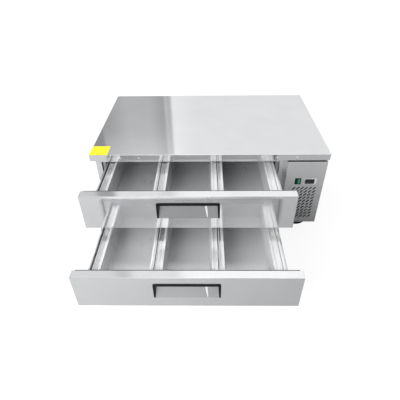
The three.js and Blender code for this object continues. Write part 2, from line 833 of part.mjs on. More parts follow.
function makeCompressor() {
  const low = floorZ + compressorFoot;
  const seamLow = low + seamRise;
  const shoulder = compressorTop - compressorRadius / 2;
  const cap = compressorRadius - domeTopRadius;
  const profile = [
    [0, floorZ + footPlate / 2], [compressorRadius / 2, floorZ + footPlate / 2],
    [compressorRadius / 2, low],
    [compressorRadius, low], [compressorRadius, seamLow], [compressorRadius + seamFlange, seamLow],
    [compressorRadius + seamFlange, seamLow + seamHeight], [compressorRadius, seamLow + seamHeight],
    [compressorRadius, shoulder],
  ];
  for (let step = 1; step <= cornerFacets; step += 1) {
    const angle = (step / cornerFacets) * (Math.PI / 2);
    const height = shoulder + (compressorTop - shoulder) * Math.sin(angle);
    profile.push([domeTopRadius + cap * Math.cos(angle), height]);
  }
  profile.push([0, compressorTop]);
  const foot = centredFoot(compressorX, compressorY);
  place('compressor', turned(profile, compressorX, compressorY).add(foot), blackPaint);
}

function centredFoot(x, y) {
  const half = footSpan / 2;
  return box(x - half, x + half, y - half, y + half, floorZ, floorZ + footPlate);
}

const coilWidth = bodyRight - sheet - partitionRight - 2 * coilSideRoom;
const shroudRadius = coilWidth / 2 - shroudMargin;
const fanRadius = shroudRadius - fanTipGap;
const coilFront = coilSetback;
const coilBack = coilFront + coilDepth;
const coilLow = floorZ + gap;
const coilTop = coilLow + coilRise + coilHeight;
const fanZ = coilTop - coilHeight / 2;
const mountBack = coilBack + gap + mountStand;
const armFront = mountBack - mountSheet;

function makeCondenser() {
  const half = coilWidth / 2;
  const block = box(machineX - half, machineX + half, coilFront, coilBack, coilLow, coilTop);
  const cuts = [];
  const pitch = coilHeight / (finGrooves + 1);
  for (let index = 1; index <= finGrooves; index += 1) {
    const z = coilLow + coilRise + index * pitch;
    cuts.push(box(machineX - half + finGrooveWidth, machineX + half - finGrooveWidth, coilFront - overrun,
      coilFront + finGrooveDepth, z - finGrooveWidth / 2, z + finGrooveWidth / 2));
  }
  place('condenser_coil', less(block, cuts), alloy);

  const front = coilBack + gap;
  const hood = box(machineX - half, machineX + half, front, mountBack, coilLow, coilTop);
  const inside = box(machineX - half + mountSheet, machineX + half - mountSheet, front - overrun,
    mountBack - mountSheet, coilLow + mountSheet, coilTop - mountSheet);
  const ring = rod('y', shroudRadius, front, mountBack + overrun, machineX, fanZ);
  const motor = rod('y', motorRadius, armFront, mountBack + motorLength, machineX, fanZ);
  const arm = box(machineX - half, machineX + half, armFront, mountBack,
    fanZ - motorArm / 2, fanZ + motorArm / 2);
  place('condenser_fan_mount', join([less(hood, [inside, ring]), arm, motor]), zinc);
}

// A fan about a Y axis: a hub with flat blades set at a pitch
function makeFan(name, x, z, y0, depth, radius, hub) {
  const bodies = [rod('y', hub, y0, y0 + depth, x, z)];
  const reach = radius - hub / 2;
  for (let index = 0; index < fanBlades; index += 1) {
    const blade = new THREE.BoxGeometry(reach, fanSheet, hub * bladeWidthShare);
    blade.rotateX(fanPitch + Math.PI / 2);
    blade.translate(hub / 2 + reach / 2, 0, 0);
    blade.rotateY(index * Math.PI * 2 / fanBlades);
    blade.translate(x, y0 + depth / 2, z);
    bodies.push(solid(blade));
  }
  const room = rod('y', radius, y0, y0 + depth, x, z);
  place(name, join(bodies).intersect(room), alloy);
}

function makeEvaporator() {
  const right = drawerX + rackFace - evaporatorInset;
  const left = right - evaporatorWidth;
  const low = coldFloorZ + evaporatorRise;
  const back = coldBackY - gap;
  const front = back - evaporatorDepth;
  const fanX = left + evaporatorWidth / 2;
  const fanHigh = low + evaporatorHeight / 2;
  const block = box(left, right, front, back, low, low + evaporatorHeight);
  const cuts = [rod('y', evaporatorBell, front - overrun, front + evaporatorWell, fanX, fanHigh)];
  const pitch = evaporatorHeight / (evaporatorFins + 1);
  for (let index = 1; index <= evaporatorFins; index += 1) {
    cuts.push(box(left - overrun, left + evaporatorFinDepth, front + evaporatorFinDepth,
      back - evaporatorFinDepth, low + index * pitch - finGrooveWidth / 2,
      low + index * pitch + finGrooveWidth / 2));
  }
  place('evaporator', less(block, cuts), alloy);

  const fanFront = front + evaporatorWell - gap - evaporatorFanDepth;
  makeFan('evaporator_fan', fanX, fanHigh, fanFront,
    evaporatorFanDepth, evaporatorFanRadius, evaporatorHub);
  return right;
}

function makeLines(evaporatorRight) {
  place('suction_line', rod('x', suctionRadius, evaporatorRight + gap, compressorX - compressorRadius - gap,
    compressorY, suctionZ, boreFacets), copper);

  const runZ = compressorTop + dischargeLift;
  const endY = coilFront + dischargeTarget;
  const start = new THREE.Vector3(compressorX, compressorY, compressorTop + gap);
  const end = new THREE.Vector3(compressorX, endY, coilTop + gap);
  const rearBend = new THREE.Vector3(compressorX, compressorY, runZ);
  const frontBend = new THREE.Vector3(compressorX, endY, runZ);
  const path = new THREE.CurvePath();
  const riseEnd = new THREE.Vector3(compressorX, compressorY, runZ - dischargeBend);
  const runStart = new THREE.Vector3(compressorX, compressorY - dischargeBend, runZ);
  const runEnd = new THREE.Vector3(compressorX, endY + dischargeBend, runZ);
  const fallStart = new THREE.Vector3(compressorX, endY, runZ - dischargeBend);
  path.add(new THREE.LineCurve3(start, riseEnd));
  path.add(new THREE.QuadraticBezierCurve3(riseEnd, rearBend, runStart));
  path.add(new THREE.LineCurve3(runStart, runEnd));
  path.add(new THREE.QuadraticBezierCurve3(runEnd, frontBend, fallStart));
  path.add(new THREE.LineCurve3(fallStart, end));
  const section = new THREE.Shape();
  section.absarc(0, 0, dischargeRadius, 0, Math.PI * 2);
  const steps = Math.round(path.getLength() / dischargeStep);
  const tube = new THREE.ExtrudeGeometry(section,
    { steps, extrudePath: path, curveSegments: cornerFacets });
  place('discharge_line', solid(tube), copper);
}

// Casters: the wheels trail to the right, as the base was last rolled
function makeCaster(name, x, y) {
  const plateTop = bodyBottom - gap;
  const plateLow = plateTop - plateThickness;
  const headLow = plateLow - swivelHeight;
  const half = plateSize / 2;
  const plate = box(x - half, x + half, y - half, y + half, plateLow, plateTop);
  place(`${name}_caster_plate`, plate.add(rod('z', swivelRadius, headLow, plateLow + lap, x, y)), zinc);

  const discTop = headLow - gap;
  const discLow = discTop - forkDiscHeight;
  const axleX = x + casterTrail;
  const legNear = wheelWidth / 2 + forkClearance;
  const legFar = legNear + forkSheet;
  const leg = new THREE.Shape();
  leg.moveTo(x - forkDisc, discTop);
  leg.lineTo(x - forkDisc, discLow - forkDiscHeight);
  leg.lineTo(axleX - forkFootRadius, wheelRadius);
  leg.absarc(axleX, wheelRadius, forkFootRadius, Math.PI, Math.PI * 2);
  leg.lineTo(x + forkDisc, discLow - forkDiscHeight);
  leg.lineTo(x + forkDisc, discTop);
  const boltFar = legFar + axleHeadHeight;
  const pieces = [
    box(x - forkDisc, x + forkDisc, y - legFar, y + legFar, discLow, discTop),
    prismY(leg, y - legFar, y - legNear),
    prismY(leg, y + legNear, y + legFar),
    rod('y', axleRadius, y - boltFar, y + boltFar, axleX, wheelRadius, boreFacets),
    rod('y', axleHead, y - boltFar, y - legFar, axleX, wheelRadius, boltFacets),
    rod('y', axleHead, y + legFar, y + boltFar, axleX, wheelRadius, boltFacets),
  ];
  place(`${name}_caster_fork`, join(pieces), zinc);

  const rim = wheelRadius / Math.cos(Math.PI / wheelFacets);
  const bore = axleRadius + axleClearance;
  const side = wheelWidth / 2;
  const profile = [
    [bore, -side], [hubRadius, -side], [rim - 2 * treadRound, -side + hubRecess], [rim - treadRound, -side],
    [rim, -side + treadRound], [rim, side - treadRound], [rim - treadRound, side],
    [rim - 2 * treadRound, side - hubRecess], [hubRadius, side], [bore, side], [bore, -side],
  ];
  const points = profile.map(([radius, height]) => new THREE.Vector2(radius, height));
  const wheel = new THREE.LatheGeometry(points, wheelFacets, Math.PI / wheelFacets);
  wheel.translate(axleX, y, wheelRadius);
  place(`${name}_caster_wheel`, solid(wheel), tyre);
}

makeWorktop();
makeOuterPanels();
makeFrontFrame();
makeColdBox();
makeSlideRack('slide_rack_left', -1);
makeSlideRack('slide_rack_right', 1);
makeDrawer('upper', upperTopZ, frameTops[0], upperOpening);
makeDrawer('lower', lowerTopZ, frameTops[1], lowerOpening);
makeMachineCover();
makeRearCovers();
makeControls();
makeCompressor();
makeCondenser();
makeFan('condenser_fan', machineX, fanZ, armFront - gap - fanDepth, fanDepth, fanRadius, fanHub);
const evaporatorRight = makeEvaporator();
makeLines(evaporatorRight);
makeCaster('front_left', bodyLeft + casterInsetX, sealY + casterInsetFront);
makeCaster('front_right', bodyRight - casterInsetX, sealY + casterInsetFront);
makeCaster('rear_left', bodyLeft + casterInsetX, bodyBack - casterInsetBack);
makeCaster('rear_right', bodyRight - casterInsetX, bodyBack - casterInsetBack);

// The origin is the bottom centre of the object as it stands, with both drawers open
part.position.y = -(frontFaceY - gap - trimProud - lowerOpening + topDepth) / 2;

export default part;
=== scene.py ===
"""Refrigerated chef base: the finished look of every piece, built around its measured frame.

Sheet metal is lofted through rounded rectangles, rails and slides are folded strips drawn out along
the drawers' travel, round pieces are turned, and what repeats comes from geometry nodes. Lengths are
in metres, in the frame's own place: the drawer fronts face -Y and the floor is at z = 0.
"""

from __future__ import annotations

import logging
import math
from collections.abc import Mapping, Sequence
from dataclasses import dataclass
from enum import Enum

import bmesh
import bpy
from mathutils import Matrix, Vector


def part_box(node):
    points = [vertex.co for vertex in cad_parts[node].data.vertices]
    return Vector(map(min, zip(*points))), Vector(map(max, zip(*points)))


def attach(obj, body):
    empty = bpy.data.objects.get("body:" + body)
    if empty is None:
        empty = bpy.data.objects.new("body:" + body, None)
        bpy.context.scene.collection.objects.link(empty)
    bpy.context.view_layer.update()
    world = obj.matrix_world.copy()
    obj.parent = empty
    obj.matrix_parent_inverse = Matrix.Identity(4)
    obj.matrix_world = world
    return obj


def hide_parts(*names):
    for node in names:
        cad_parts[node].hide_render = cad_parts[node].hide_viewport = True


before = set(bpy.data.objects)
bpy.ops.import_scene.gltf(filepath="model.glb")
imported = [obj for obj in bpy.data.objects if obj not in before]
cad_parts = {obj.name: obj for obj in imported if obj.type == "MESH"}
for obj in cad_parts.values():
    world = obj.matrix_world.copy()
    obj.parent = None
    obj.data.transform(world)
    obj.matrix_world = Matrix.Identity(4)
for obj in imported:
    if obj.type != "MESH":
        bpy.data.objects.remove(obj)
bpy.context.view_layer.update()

LOG = logging.getLogger("chef_base")
MM = 0.001
SHARP_ANGLE = math.radians(35)
CORNER_STEPS = 5
LEAST_RADIUS = 0.02 * MM
ACROSS_GRAIN = 0.25
ORIGIN = Vector((0.0, 0.0, 0.0))

Flat = tuple[float, float]
Corner = tuple[float, float, float]
Colour = tuple[float, float, float, float]
Row = tuple[Vector, Vector, int]
Tree = bpy.types.NodeTree
Node = bpy.types.Node
Socket = bpy.types.NodeSocket
Source = Node | Socket
Piece = bpy.types.Object
Paint = bpy.types.Material


class Axis(Enum):
    """A direction of the frame. An outline (u, v) stands square to it."""

    X = 0
    Y = 1
    Z = 2

    def point(self, u: float, v: float, along: float) -> Vector:
        """Places an outline's point at a distance along the axis."""
        return Vector(((along, u, v), (u, along, v), (u, v, along))[self.value])

    def flat(self, place: Vector) -> Flat:
        """Returns the (u, v) of a place, square to the axis."""
        kept = [value for index, value in enumerate(place) if index != self.value]
        return kept[0], kept[1]

    @property
    def unit(self) -> Vector:
        """The unit vector along the axis."""
        return Vector([float(index == self.value) for index in range(3)])


@dataclass(frozen=True)
class Rect:
    """A rectangle in an outline's own (u, v)."""

    u0: float
    u1: float
    v0: float
    v1: float

    @classmethod
    def of(cls, low: Vector, high: Vector, axis: Axis) -> Rect:
        """Returns a box's shadow along an axis."""
        (u0, v0), (u1, v1) = axis.flat(low), axis.flat(high)
        return cls(u0, u1, v0, v1)

    @classmethod
    def about(cls, u: float, v: float, width: float, height: float) -> Rect:
        """Returns the rectangle of a size about its middle."""
        return cls(u - width / 2, u + width / 2, v - height / 2, v + height / 2)

    def shrunk(self, by: float) -> Rect:
        """Returns the rectangle with all four sides moved in."""
        return Rect(self.u0 + by, self.u1 - by, self.v0 + by, self.v1 - by)

    def steps(self, profile: Sequence[Flat], corner: float) -> list[Step]:
        """Returns the rectangle at each inset and place of a profile, as a loft takes them."""
        return [(self.shrunk(inset), corner - inset, along) for inset, along in profile]

    def loop(self, radius: float, steps: int = CORNER_STEPS) -> list[Flat]:
        """Returns the points round the rectangle, anticlockwise.

        Args:
            radius: of the four corners.
            steps: the number of chords in each corner.

        Returns:
            The same number of points for every rectangle, so that loops can be joined.
        """
        radius = max(LEAST_RADIUS, min(radius, (self.u1 - self.u0) / 2.01, (self.v1 - self.v0) / 2.01))
        centres = (
            (self.u1 - radius, self.v1 - radius),
            (self.u0 + radius, self.v1 - radius),
            (self.u0 + radius, self.v0 + radius),
            (self.u1 - radius, self.v0 + radius),
        )
        points = []
        for quarter, (u, v) in enumerate(centres):
            for step in range(steps + 1):
                angle = (quarter + step / steps) * math.pi / 2
                points.append((u + radius * math.cos(angle), v + radius * math.sin(angle)))
        return points


Step = tuple[Rect, float, float]


def mirrored(profile: Sequence[Corner]) -> list[Corner]:
    """Returns a profile that starts on one side, followed by its own mirror image."""
    return [*profile, *((u, -v, radius) for u, v, radius in reversed(profile))]


def circle(u: float, v: float, radius: float, sides: int, start: float = 0.0) -> list[Flat]:
    """Returns the points round a circle, the first one a share of a chord past the u axis."""
    angles = [math.tau * (index + start) / sides for index in range(sides)]
    return [(u + radius * math.cos(angle), v + radius * math.sin(angle)) for angle in angles]


def rounded(corners: Sequence[Corner], closed: bool = True, steps: int = CORNER_STEPS) -> list[Flat]:
    """Turns corners (u, v, radius) into an outline with arcs.

    Args:
        corners: the corners in order, each with the radius of its arc.
        closed: whether the last corner joins the first.
        steps: the number of chords in each arc.

    Returns:
        The outline's points.
    """
    points: list[Flat] = []
    count = len(corners)
    for index, (u, v, radius) in enumerate(corners):
        here = Vector((u, v))
        if radius <= 0 or (not closed and index in (0, count - 1)):
            points.append((u, v))
            continue
        before = Vector(corners[index - 1][:2]) - here
        after = Vector(corners[(index + 1) % count][:2]) - here
        half = before.angle(after) / 2
        reach = min(radius / math.tan(half), before.length * 0.49, after.length * 0.49)
        radius = reach * math.tan(half)
        centre = here + (before.normalized() + after.normalized()).normalized() * (radius / math.sin(half))
        start = here + before.normalized() * reach - centre
        end = here + after.normalized() * reach - centre
        first = math.atan2(start.y, start.x)
        sweep = math.remainder(math.atan2(end.y, end.x) - first, math.tau)
        for step in range(steps + 1):
            angle = first + sweep * step / steps
            points.append((centre.x + radius * math.cos(angle), centre.y + radius * math.sin(angle)))
    return points


def folded(corners: Sequence[Corner], thickness: float, steps: int = 4) -> list[Flat]:
    """Returns the closed section of a strip of sheet folded along a line.

    Args:
        corners: the middle line's corners, each with the radius of its bend.
        thickness: of the sheet.
        steps: the number of chords in each bend.

    Returns:
        The section's points.
    """
    line = [Vector(point) for point in rounded(corners, closed=False, steps=steps)]
    sides: tuple[list[Flat], list[Flat]] = ([], [])
    before = line[1] - line[0]
    for index, here in enumerate(line):
        after = (line[index + 1] - here).normalized() if index < len(line) - 1 else before
        before = (here - line[index - 1]).normalized() if index else after
        along = (before + after).normalized()
        across = Vector((-along.y, along.x)) / max(0.3, along.dot(before))
        for side, sign in zip(sides, (1, -1)):
            place = here + across * (sign * thickness / 2)
            side.append((place.x, place.y))
    return sides[0] + sides[1][::-1]


class Draft:
    """A mesh in the making, out of closed solids."""

    def __init__(self) -> None:
        """Starts with no faces."""
        self.mesh = bmesh.new()

    def skin(self, loops: Sequence[Sequence[Vector]], closed: bool = False) -> None:
        """Joins loops of points into a closed solid.

        Args:
            loops: each with the same number of points.
            closed: joins the last loop to the first, where otherwise both are capped.
        """
        rows = [[self.mesh.verts.new(point) for point in loop] for loop in loops]
        pairs = list(zip(rows, rows[1:]))
        if closed:
            pairs.append((rows[-1], rows[0]))
        else:
            self.mesh.faces.new(rows[0][::-1])
            self.mesh.faces.new(rows[-1])
        for near, far in pairs:
            for index, corner in enumerate(near):
                following = (index + 1) % len(near)
                self.mesh.faces.new((corner, near[following], far[following], far[index]))

    def pan(self, rect: Rect, profile: Sequence[Flat], corner: float, axis: Axis,
            closed: bool = False) -> None:
        """Lofts a rectangle whose sides move in and out on the way along an axis.

        Args:
            rect: the rectangle at inset 0.
            profile: pairs of inset and place along the axis.
            corner: the corner radius at inset 0.
            axis: the axis that the profile goes along.
            closed: whether the profile closes on itself.
        """
        self.loft(rect.steps(profile, corner), axis, closed)

    def loft(self, steps: Sequence[Step], axis: Axis, closed: bool = False) -> None:
        """Joins rounded rectangles along an axis.

        Args:
            steps: each rectangle with its corner radius and its place along the axis.
            axis: the axis that they stand square to.
            closed: whether the last one joins the first.
        """
        self.skin([[axis.point(u, v, along) for u, v in rect.loop(radius)] for rect, radius, along in steps],
                  closed)

    def draw(self, outline: Sequence[Flat], axis: Axis, start: float, end: float) -> None:
        """Draws an outline out along an axis."""
        self.skin([[axis.point(u, v, along) for u, v in outline] for along in (start, end)])

    def block(self, low: Vector, high: Vector, edge: float = 0.5 * MM) -> None:
        """Adds a block whose edges are rounded off.

        Args:
            low: its least corner.
            high: its greatest corner.
            edge: how far in the rounding starts.
        """
        edge = min(edge, min(high - low) * 0.4)
        bevel = ((edge, 0.0), (edge * 0.3, edge * 0.3), (0.0, edge))
        profile = [(inset, low.z + rise) for inset, rise in bevel]
        profile += [(inset, high.z - rise) for inset, rise in reversed(bevel)]
        self.pan(Rect.of(low, high, Axis.Z), profile, 2 * edge, Axis.Z)

    def turn(self, profile: Sequence[Flat], centre: Vector, axis: Axis, sides: int = 48,
             closed: bool = False) -> None:
        """Turns a profile about an axis.

        Args:
            profile: pairs of radius and place along the axis, from the centre.
            centre: the point that the profile is measured from.
            axis: the axis of the turning.
            sides: the number of chords round.
            closed: whether the profile closes on itself, as round a bore.
        """
        self.skin([[centre + axis.point(u, v, along) for u, v in circle(0, 0, radius, sides, 0.5)]
                   for radius, along in profile], closed)

    def tube(self, path: Sequence[Vector], radius: float, sides: int = 14) -> None:
        """Sweeps a circle along a path.

        Args:
            path: the points of the middle line.
            radius: of the circle.
            sides: the number of chords round.
        """
        forward = (path[1] - path[0]).normalized()
        side = forward.orthogonal().normalized()
        loops = []
        for index, place in enumerate(path):
            ahead = path[min(index + 1, len(path) - 1)] - path[max(index - 1, 0)]
            turn = forward.rotation_difference(ahead.normalized())
            side = turn @ side
            forward = ahead.normalized()
            up = forward.cross(side)
            loops.append([place + side * u + up * v for u, v in circle(0, 0, radius, sides)])
        self.skin(loops)

    def grid(self, us: Sequence[float], vs: Sequence[float], holes: Sequence[Flat], axis: Axis,
             start: float, end: float) -> None:
        """Adds a plate of rectangular cells, some of them left open.

        Args:
            us: the cells' borders along u.
            vs: the cells' borders along v.
            holes: the (column, row) of each open cell.
            axis: the axis square to the plate.
            start: where one face of the plate is.
            end: where the other face is.
        """
        verts = {(i, j): self.mesh.verts.new(axis.point(u, v, start))
                 for i, u in enumerate(us) for j, v in enumerate(vs)}
        faces = [self.mesh.faces.new((verts[i, j], verts[i + 1, j], verts[i + 1, j + 1], verts[i, j + 1]))
                 for i in range(len(us) - 1) for j in range(len(vs) - 1) if (i, j) not in holes]
        for vert in [v for v in verts.values() if not v.link_faces]:
            self.mesh.verts.remove(vert)
        raised = bmesh.ops.extrude_face_region(self.mesh, geom=faces)["geom"]
        moved = [item for item in raised if isinstance(item, bmesh.types.BMVert)]
        bmesh.ops.translate(self.mesh, verts=moved, vec=axis.unit * (end - start))

    def moved(self, matrix: Matrix) -> None:
        """Moves everything drafted so far."""
        bmesh.ops.transform(self.mesh, matrix=matrix, verts=self.mesh.verts)

    def finish(self, name: str, grain: Axis = Axis.X, bevel: float = 0.0) -> Piece:
        """Makes the object, with its grain map and smooth shading.

        Args:
            name: the piece's name.
            grain: the way that the sheet's brushed lines run.
            bevel: the width of the edge rounding, if any.

        Returns:
            The new object, at the origin.
        """
        bmesh.ops.remove_doubles(self.mesh, verts=self.mesh.verts, dist=1e-6)
        bmesh.ops.dissolve_degenerate(self.mesh, edges=self.mesh.edges, dist=1e-7)
        bmesh.ops.recalc_face_normals(self.mesh, faces=self.mesh.faces)
        data = bpy.data.meshes.new(name)
        self.mesh.to_mesh(data)
        self.mesh.free()
        piece = put(name, data)
        if bevel > 0:
            modifier = piece.modifiers.new("edges", "BEVEL")
            modifier.width = bevel
            modifier.segments = 2
            modifier.limit_method = "ANGLE"
            modifier.angle_limit = SHARP_ANGLE
            bake(piece)
        map_grain(piece, grain)
        soften(piece)
        return piece


def put(name: str, data: bpy.types.ID) -> Piece:
    """Puts an object into the scene, at the origin.

    Args:
        name: the object's name.
        data: its mesh, camera or lamp.

    Returns:
        The object.
    """
    piece = bpy.data.objects.new(name, data)
    bpy.context.scene.collection.objects.link(piece)
    return piece


def bake(piece: Piece) -> None:
    """Turns a piece's modifiers into plain mesh and removes them.

    Args:
        piece: the piece, which gets the new mesh.
    """
    bpy.context.view_layer.update()
    graph = bpy.context.evaluated_depsgraph_get()
    plain = bpy.data.meshes.new_from_object(piece.evaluated_get(graph), preserve_all_data_layers=True,
                                            depsgraph=graph)
    piece.modifiers.clear()
    plain.name = piece.name
    piece.data = plain


def soften(piece: Piece) -> None:
    """Shades a piece smooth except at its sharp edges, and keeps its flat faces flat beside small bends.

    Args:
        piece: the piece, which gets a new mesh.
    """
    mesh = piece.data
    mesh.polygons.foreach_set("use_smooth", [True] * len(mesh.polygons))
    mesh.set_sharp_from_angle(angle=SHARP_ANGLE)
    weighted = piece.modifiers.new("flat_faces", "WEIGHTED_NORMAL")
    weighted.keep_sharp = True
    bake(piece)


def map_grain(piece: Piece, grain: Axis) -> None:
    """Gives a piece a UV map in metres whose u runs along the brushed lines.

    Args:
        piece: a piece at the origin.
        grain: the way of the lines, on every face that isn't square to it.
    """
    mesh = piece.data
    layer = mesh.uv_layers.get("grain") or mesh.uv_layers.new(name="grain")
    other = Axis.Y if grain is not Axis.Y else Axis.X
    for face in mesh.polygons:
        along = grain.unit if abs(face.normal.dot(grain.unit)) < 0.8 else other.unit
        across = face.normal.cross(along)
        for index in face.loop_indices:
            place = mesh.vertices[mesh.loops[index].vertex_index].co
            layer.data[index].uv = (place.dot(along), place.dot(across))


def add_node(tree: Tree, kind: str, settings: Mapping[str, object] | None = None,
             inputs: Mapping[str | int, object] | None = None) -> Node:
    """Adds a node with its settings and inputs.

    Args:
        tree: the tree that it goes into.
        kind: Blender's name for the node.
        settings: the node's own attributes.
        inputs: a value or a source to link, for each named or numbered input.

    Returns:
        The new node.
    """
    node = tree.nodes.new(kind)
    for key, value in (settings or {}).items():
        setattr(node, key, value)
    fill_inputs(tree, node, inputs or {})
    return node


def fill_inputs(tree: Tree, node: Node, inputs: Mapping[str | int, object]) -> None:
    """Sets or links a node's inputs.

    Args:
        tree: the node's tree.
        node: the node.
        inputs: a value or a source to link, for each named or numbered input. A source is an output
            socket, or a node that stands for its first one.
    """
    for key, value in inputs.items():
        if isinstance(value, Source):
            tree.links.new(value.outputs[0] if isinstance(value, Node) else value, node.inputs[key])
        else:
            node.inputs[key].default_value = value


def from_hex(text: str) -> Colour:
    """Turns an sRGB hex colour, such as #e9eaeb, into a linear one."""
    channels = [int(text[index:index + 2], 16) / 255 for index in (1, 3, 5)]
    return *(c / 12.92 if c <= 0.04045 else ((c + 0.055) / 1.055) ** 2.4 for c in channels), 1.0


# Finishes


@dataclass(frozen=True)
class Surface:
    """What every finish has. Each kind adds its own pattern, relief and gloss.

    Attributes:
        name: the material's name.
        slot: the record's slot that it belongs to; not used.
        light: the paler tone, as a hex colour.
        dark: the deeper tone, as a hex colour.
        roughness: in the middle of its range.
        spread: how far the roughness goes to each side.
        depth: how deep the relief is.
        strength: how much of the relief shows.
    """

    name: str
    slot: str
    light: str
    dark: str
    roughness: float
    spread: float
    depth: float = 0.0
    strength: float = 1.0

    def build(self) -> Paint:
        """Makes the material.

        Returns:
            The material, with its nodes.
        """
        material = bpy.data.materials.new(self.name)
        material.use_nodes = True
        tree = material.node_tree
        pattern, relief = self.patterns(tree)
        tone = add_node(tree, "ShaderNodeMix", {"data_type": "RGBA"},
                        {"Factor": pattern, 6: from_hex(self.dark), 7: from_hex(self.light)})
        rough = add_node(tree, "ShaderNodeMapRange", None, {
            "Value": pattern, "To Min": self.roughness + self.spread, "To Max": self.roughness - self.spread})
        inputs = {"Base Color": tone.outputs[2], "Roughness": rough, **self.gloss_inputs(tree)}
        if relief is not None:
            inputs["Normal"] = add_node(tree, "ShaderNodeBump", None, {
                "Height": relief, "Distance": self.depth, "Strength": self.strength})
        fill_inputs(tree, tree.nodes["Principled BSDF"], inputs)
        return material

    def patterns(self, tree: Tree) -> tuple[Source, Source | None]:
        """Returns where the surface is paler and smoother, from 0 to 1, and its relief, if any."""
        raise NotImplementedError

    def gloss_inputs(self, tree: Tree) -> dict[str, object]:
        """Returns the shader's other inputs."""
        return {}

    @staticmethod
    def noise(tree: Tree, size: float, stretch: Sequence[float] = (1, 1, 1), detail: float = 2.0) -> Node:
        """Adds noise on the piece's own coordinates.

        Args:
            tree: the material's tree.
            size: of one blob, in metres.
            stretch: how many times longer the blobs are along each axis.
            detail: the number of finer layers.

        Returns:
            The noise's node, from 0 to 1.
        """
        place = add_node(tree, "ShaderNodeTexCoord")
        scaled = add_node(tree, "ShaderNodeMapping", None, {
            "Vector": place.outputs["Object"], "Scale": [1 / (size * times) for times in stretch]})
        return add_node(tree, "ShaderNodeTexNoise", None, {
            "Vector": scaled, "Scale": 1.0, "Detail": detail, "Roughness": 0.55})

    @staticmethod
    def sharpened(tree: Tree, noise: Source, low: float = 0.3, high: float = 0.7) -> Node:
        """Spreads the noise between two values over the whole range from 0 to 1."""
        return add_node(tree, "ShaderNodeMapRange", None,
                        {"Value": noise, "From Min": low, "From Max": high})


@dataclass(frozen=True)
class BrushedSteel(Surface):
    """304 stainless sheet with a belt-brushed face: clear reflections, drawn out across the lines.

    The brushing also throws some light back evenly, which the part that isn't metallic stands for.

    Attributes:
        grain: the way of the brushed lines.
        line: the spacing of the lines. Real ones are 0.1 mm apart, and these are as coarse as the
            render needs to show them.
        line_share: the length of a line, in spacings.
        cloud: the size of the light clouds that handling leaves on the sheet.
        lengthwise: how strongly the gloss is drawn out across the lines.
        metallic: the mirroring part of the face.
    """

    depth: float = 0.006 * MM
    grain: Axis = Axis.X
    line: float = 1.1 * MM
    line_share: float = 60.0
    cloud: float = 180 * MM
    lengthwise: float = 0.55
    metallic: float = 0.75

    def patterns(self, tree: Tree) -> tuple[Source, Source]:
        """Blends the lines with clouds.

        Args:
            tree: the material's tree.

        Returns:
            The blend, and the lines as relief.
        """
        stretch = [self.line_share if axis is self.grain else 1.0 for axis in Axis]
        lines = self.noise(tree, self.line, stretch, 3.0)
        blend = add_node(tree, "ShaderNodeMix", {"data_type": "FLOAT"},
                         {"Factor": 0.45, 2: lines, 3: self.noise(tree, self.cloud)})
        return self.sharpened(tree, blend), lines

    def gloss_inputs(self, tree: Tree) -> dict[str, object]:
        """Draws the reflections out across the lines.

        Args:
            tree: the material's tree.

        Returns:
            The shader's inputs for it.
        """
        tangent = add_node(tree, "ShaderNodeTangent", {"direction_type": "UV_MAP", "uv_map": "grain"})
        return {"Metallic": self.metallic, "Anisotropic": self.lengthwise,
                "Anisotropic Rotation": ACROSS_GRAIN, "Tangent": tangent}


@dataclass(frozen=True)
class PlatedSteel(Surface):
    """Pressed mild steel with bright zinc plating, faintly clouded as the bath leaves it."""

    depth: float = 0.01 * MM
    blob: float = 14 * MM
    crystal: float = 0.9 * MM

    def patterns(self, tree: Tree) -> tuple[Source, Source]:
        """Returns the clouds, and the plating's fine grain."""
        return self.sharpened(tree, self.noise(tree, self.blob, detail=3.0)), self.noise(tree, self.crystal)

    def gloss_inputs(self, tree: Tree) -> dict[str, object]:
        """Returns the gloss of bare metal."""
        return {"Metallic": 1.0}


@dataclass(frozen=True)
class Moulded(Surface):
    """Injection-moulded or rubbery plastic: a spark-eroded grit that catches the light softly."""

    depth: float = 0.03 * MM
    patch: float = 22 * MM
    grit: float = 0.8 * MM
    coat: float = 0.0
    coat_roughness: float = 0.08
    gloss: float = 0.5

    def patterns(self, tree: Tree) -> tuple[Source, Source]:
        """Returns faint patches, and the grit."""
        return self.sharpened(tree, self.noise(tree, self.patch)), self.noise(tree, self.grit)

    def gloss_inputs(self, tree: Tree) -> dict[str, object]:
        """Returns the gloss of the face and of its coat."""
        return {"Specular IOR Level": self.gloss, "Coat Weight": self.coat,
                "Coat Roughness": self.coat_roughness}


@dataclass(frozen=True)
class GreenRockerPaintedLight(Moulded):
    """Green plastic with painted light: deep green on the left, turning pale clear green along X towards the
    right.

    Attributes:
        bounds: where along X the painted light starts and where it is brightest.
    """

    bounds: tuple[float, float] = (503 * MM, 513 * MM)

    def patterns(self, tree: Tree) -> tuple[Source, Source]:
        """Paints light along X: the green turns pale towards the right.

        Args:
            tree: the material's tree.

        Returns:
            The share of painted light, and the grit as relief.
        """
        place = add_node(tree, "ShaderNodeTexCoord")
        across = add_node(tree, "ShaderNodeSeparateXYZ", None, {"Vector": place.outputs["Object"]})
        # Painted light: the colour turns paler towards +X.
        clear = add_node(tree, "ShaderNodeMapRange", {"interpolation_type": "SMOOTHSTEP"}, {
            "Value": across.outputs["X"], "From Min": self.bounds[0], "From Max": self.bounds[1]})
        return clear, self.noise(tree, self.grit)


@dataclass(frozen=True)
class Metallic(Surface):
    """Bare aluminium or copper: drawn or rolled, with a light oxide bloom."""

    blob: float = 9 * MM

    def patterns(self, tree: Tree) -> tuple[Source, None]:
        """Returns the bloom, and no relief."""
        return self.sharpened(tree, self.noise(tree, self.blob, detail=4.0), 0.35, 0.65), None

    def gloss_inputs(self, tree: Tree) -> dict[str, object]:
        """Returns the gloss of bare metal."""
        return {"Metallic": 1.0}


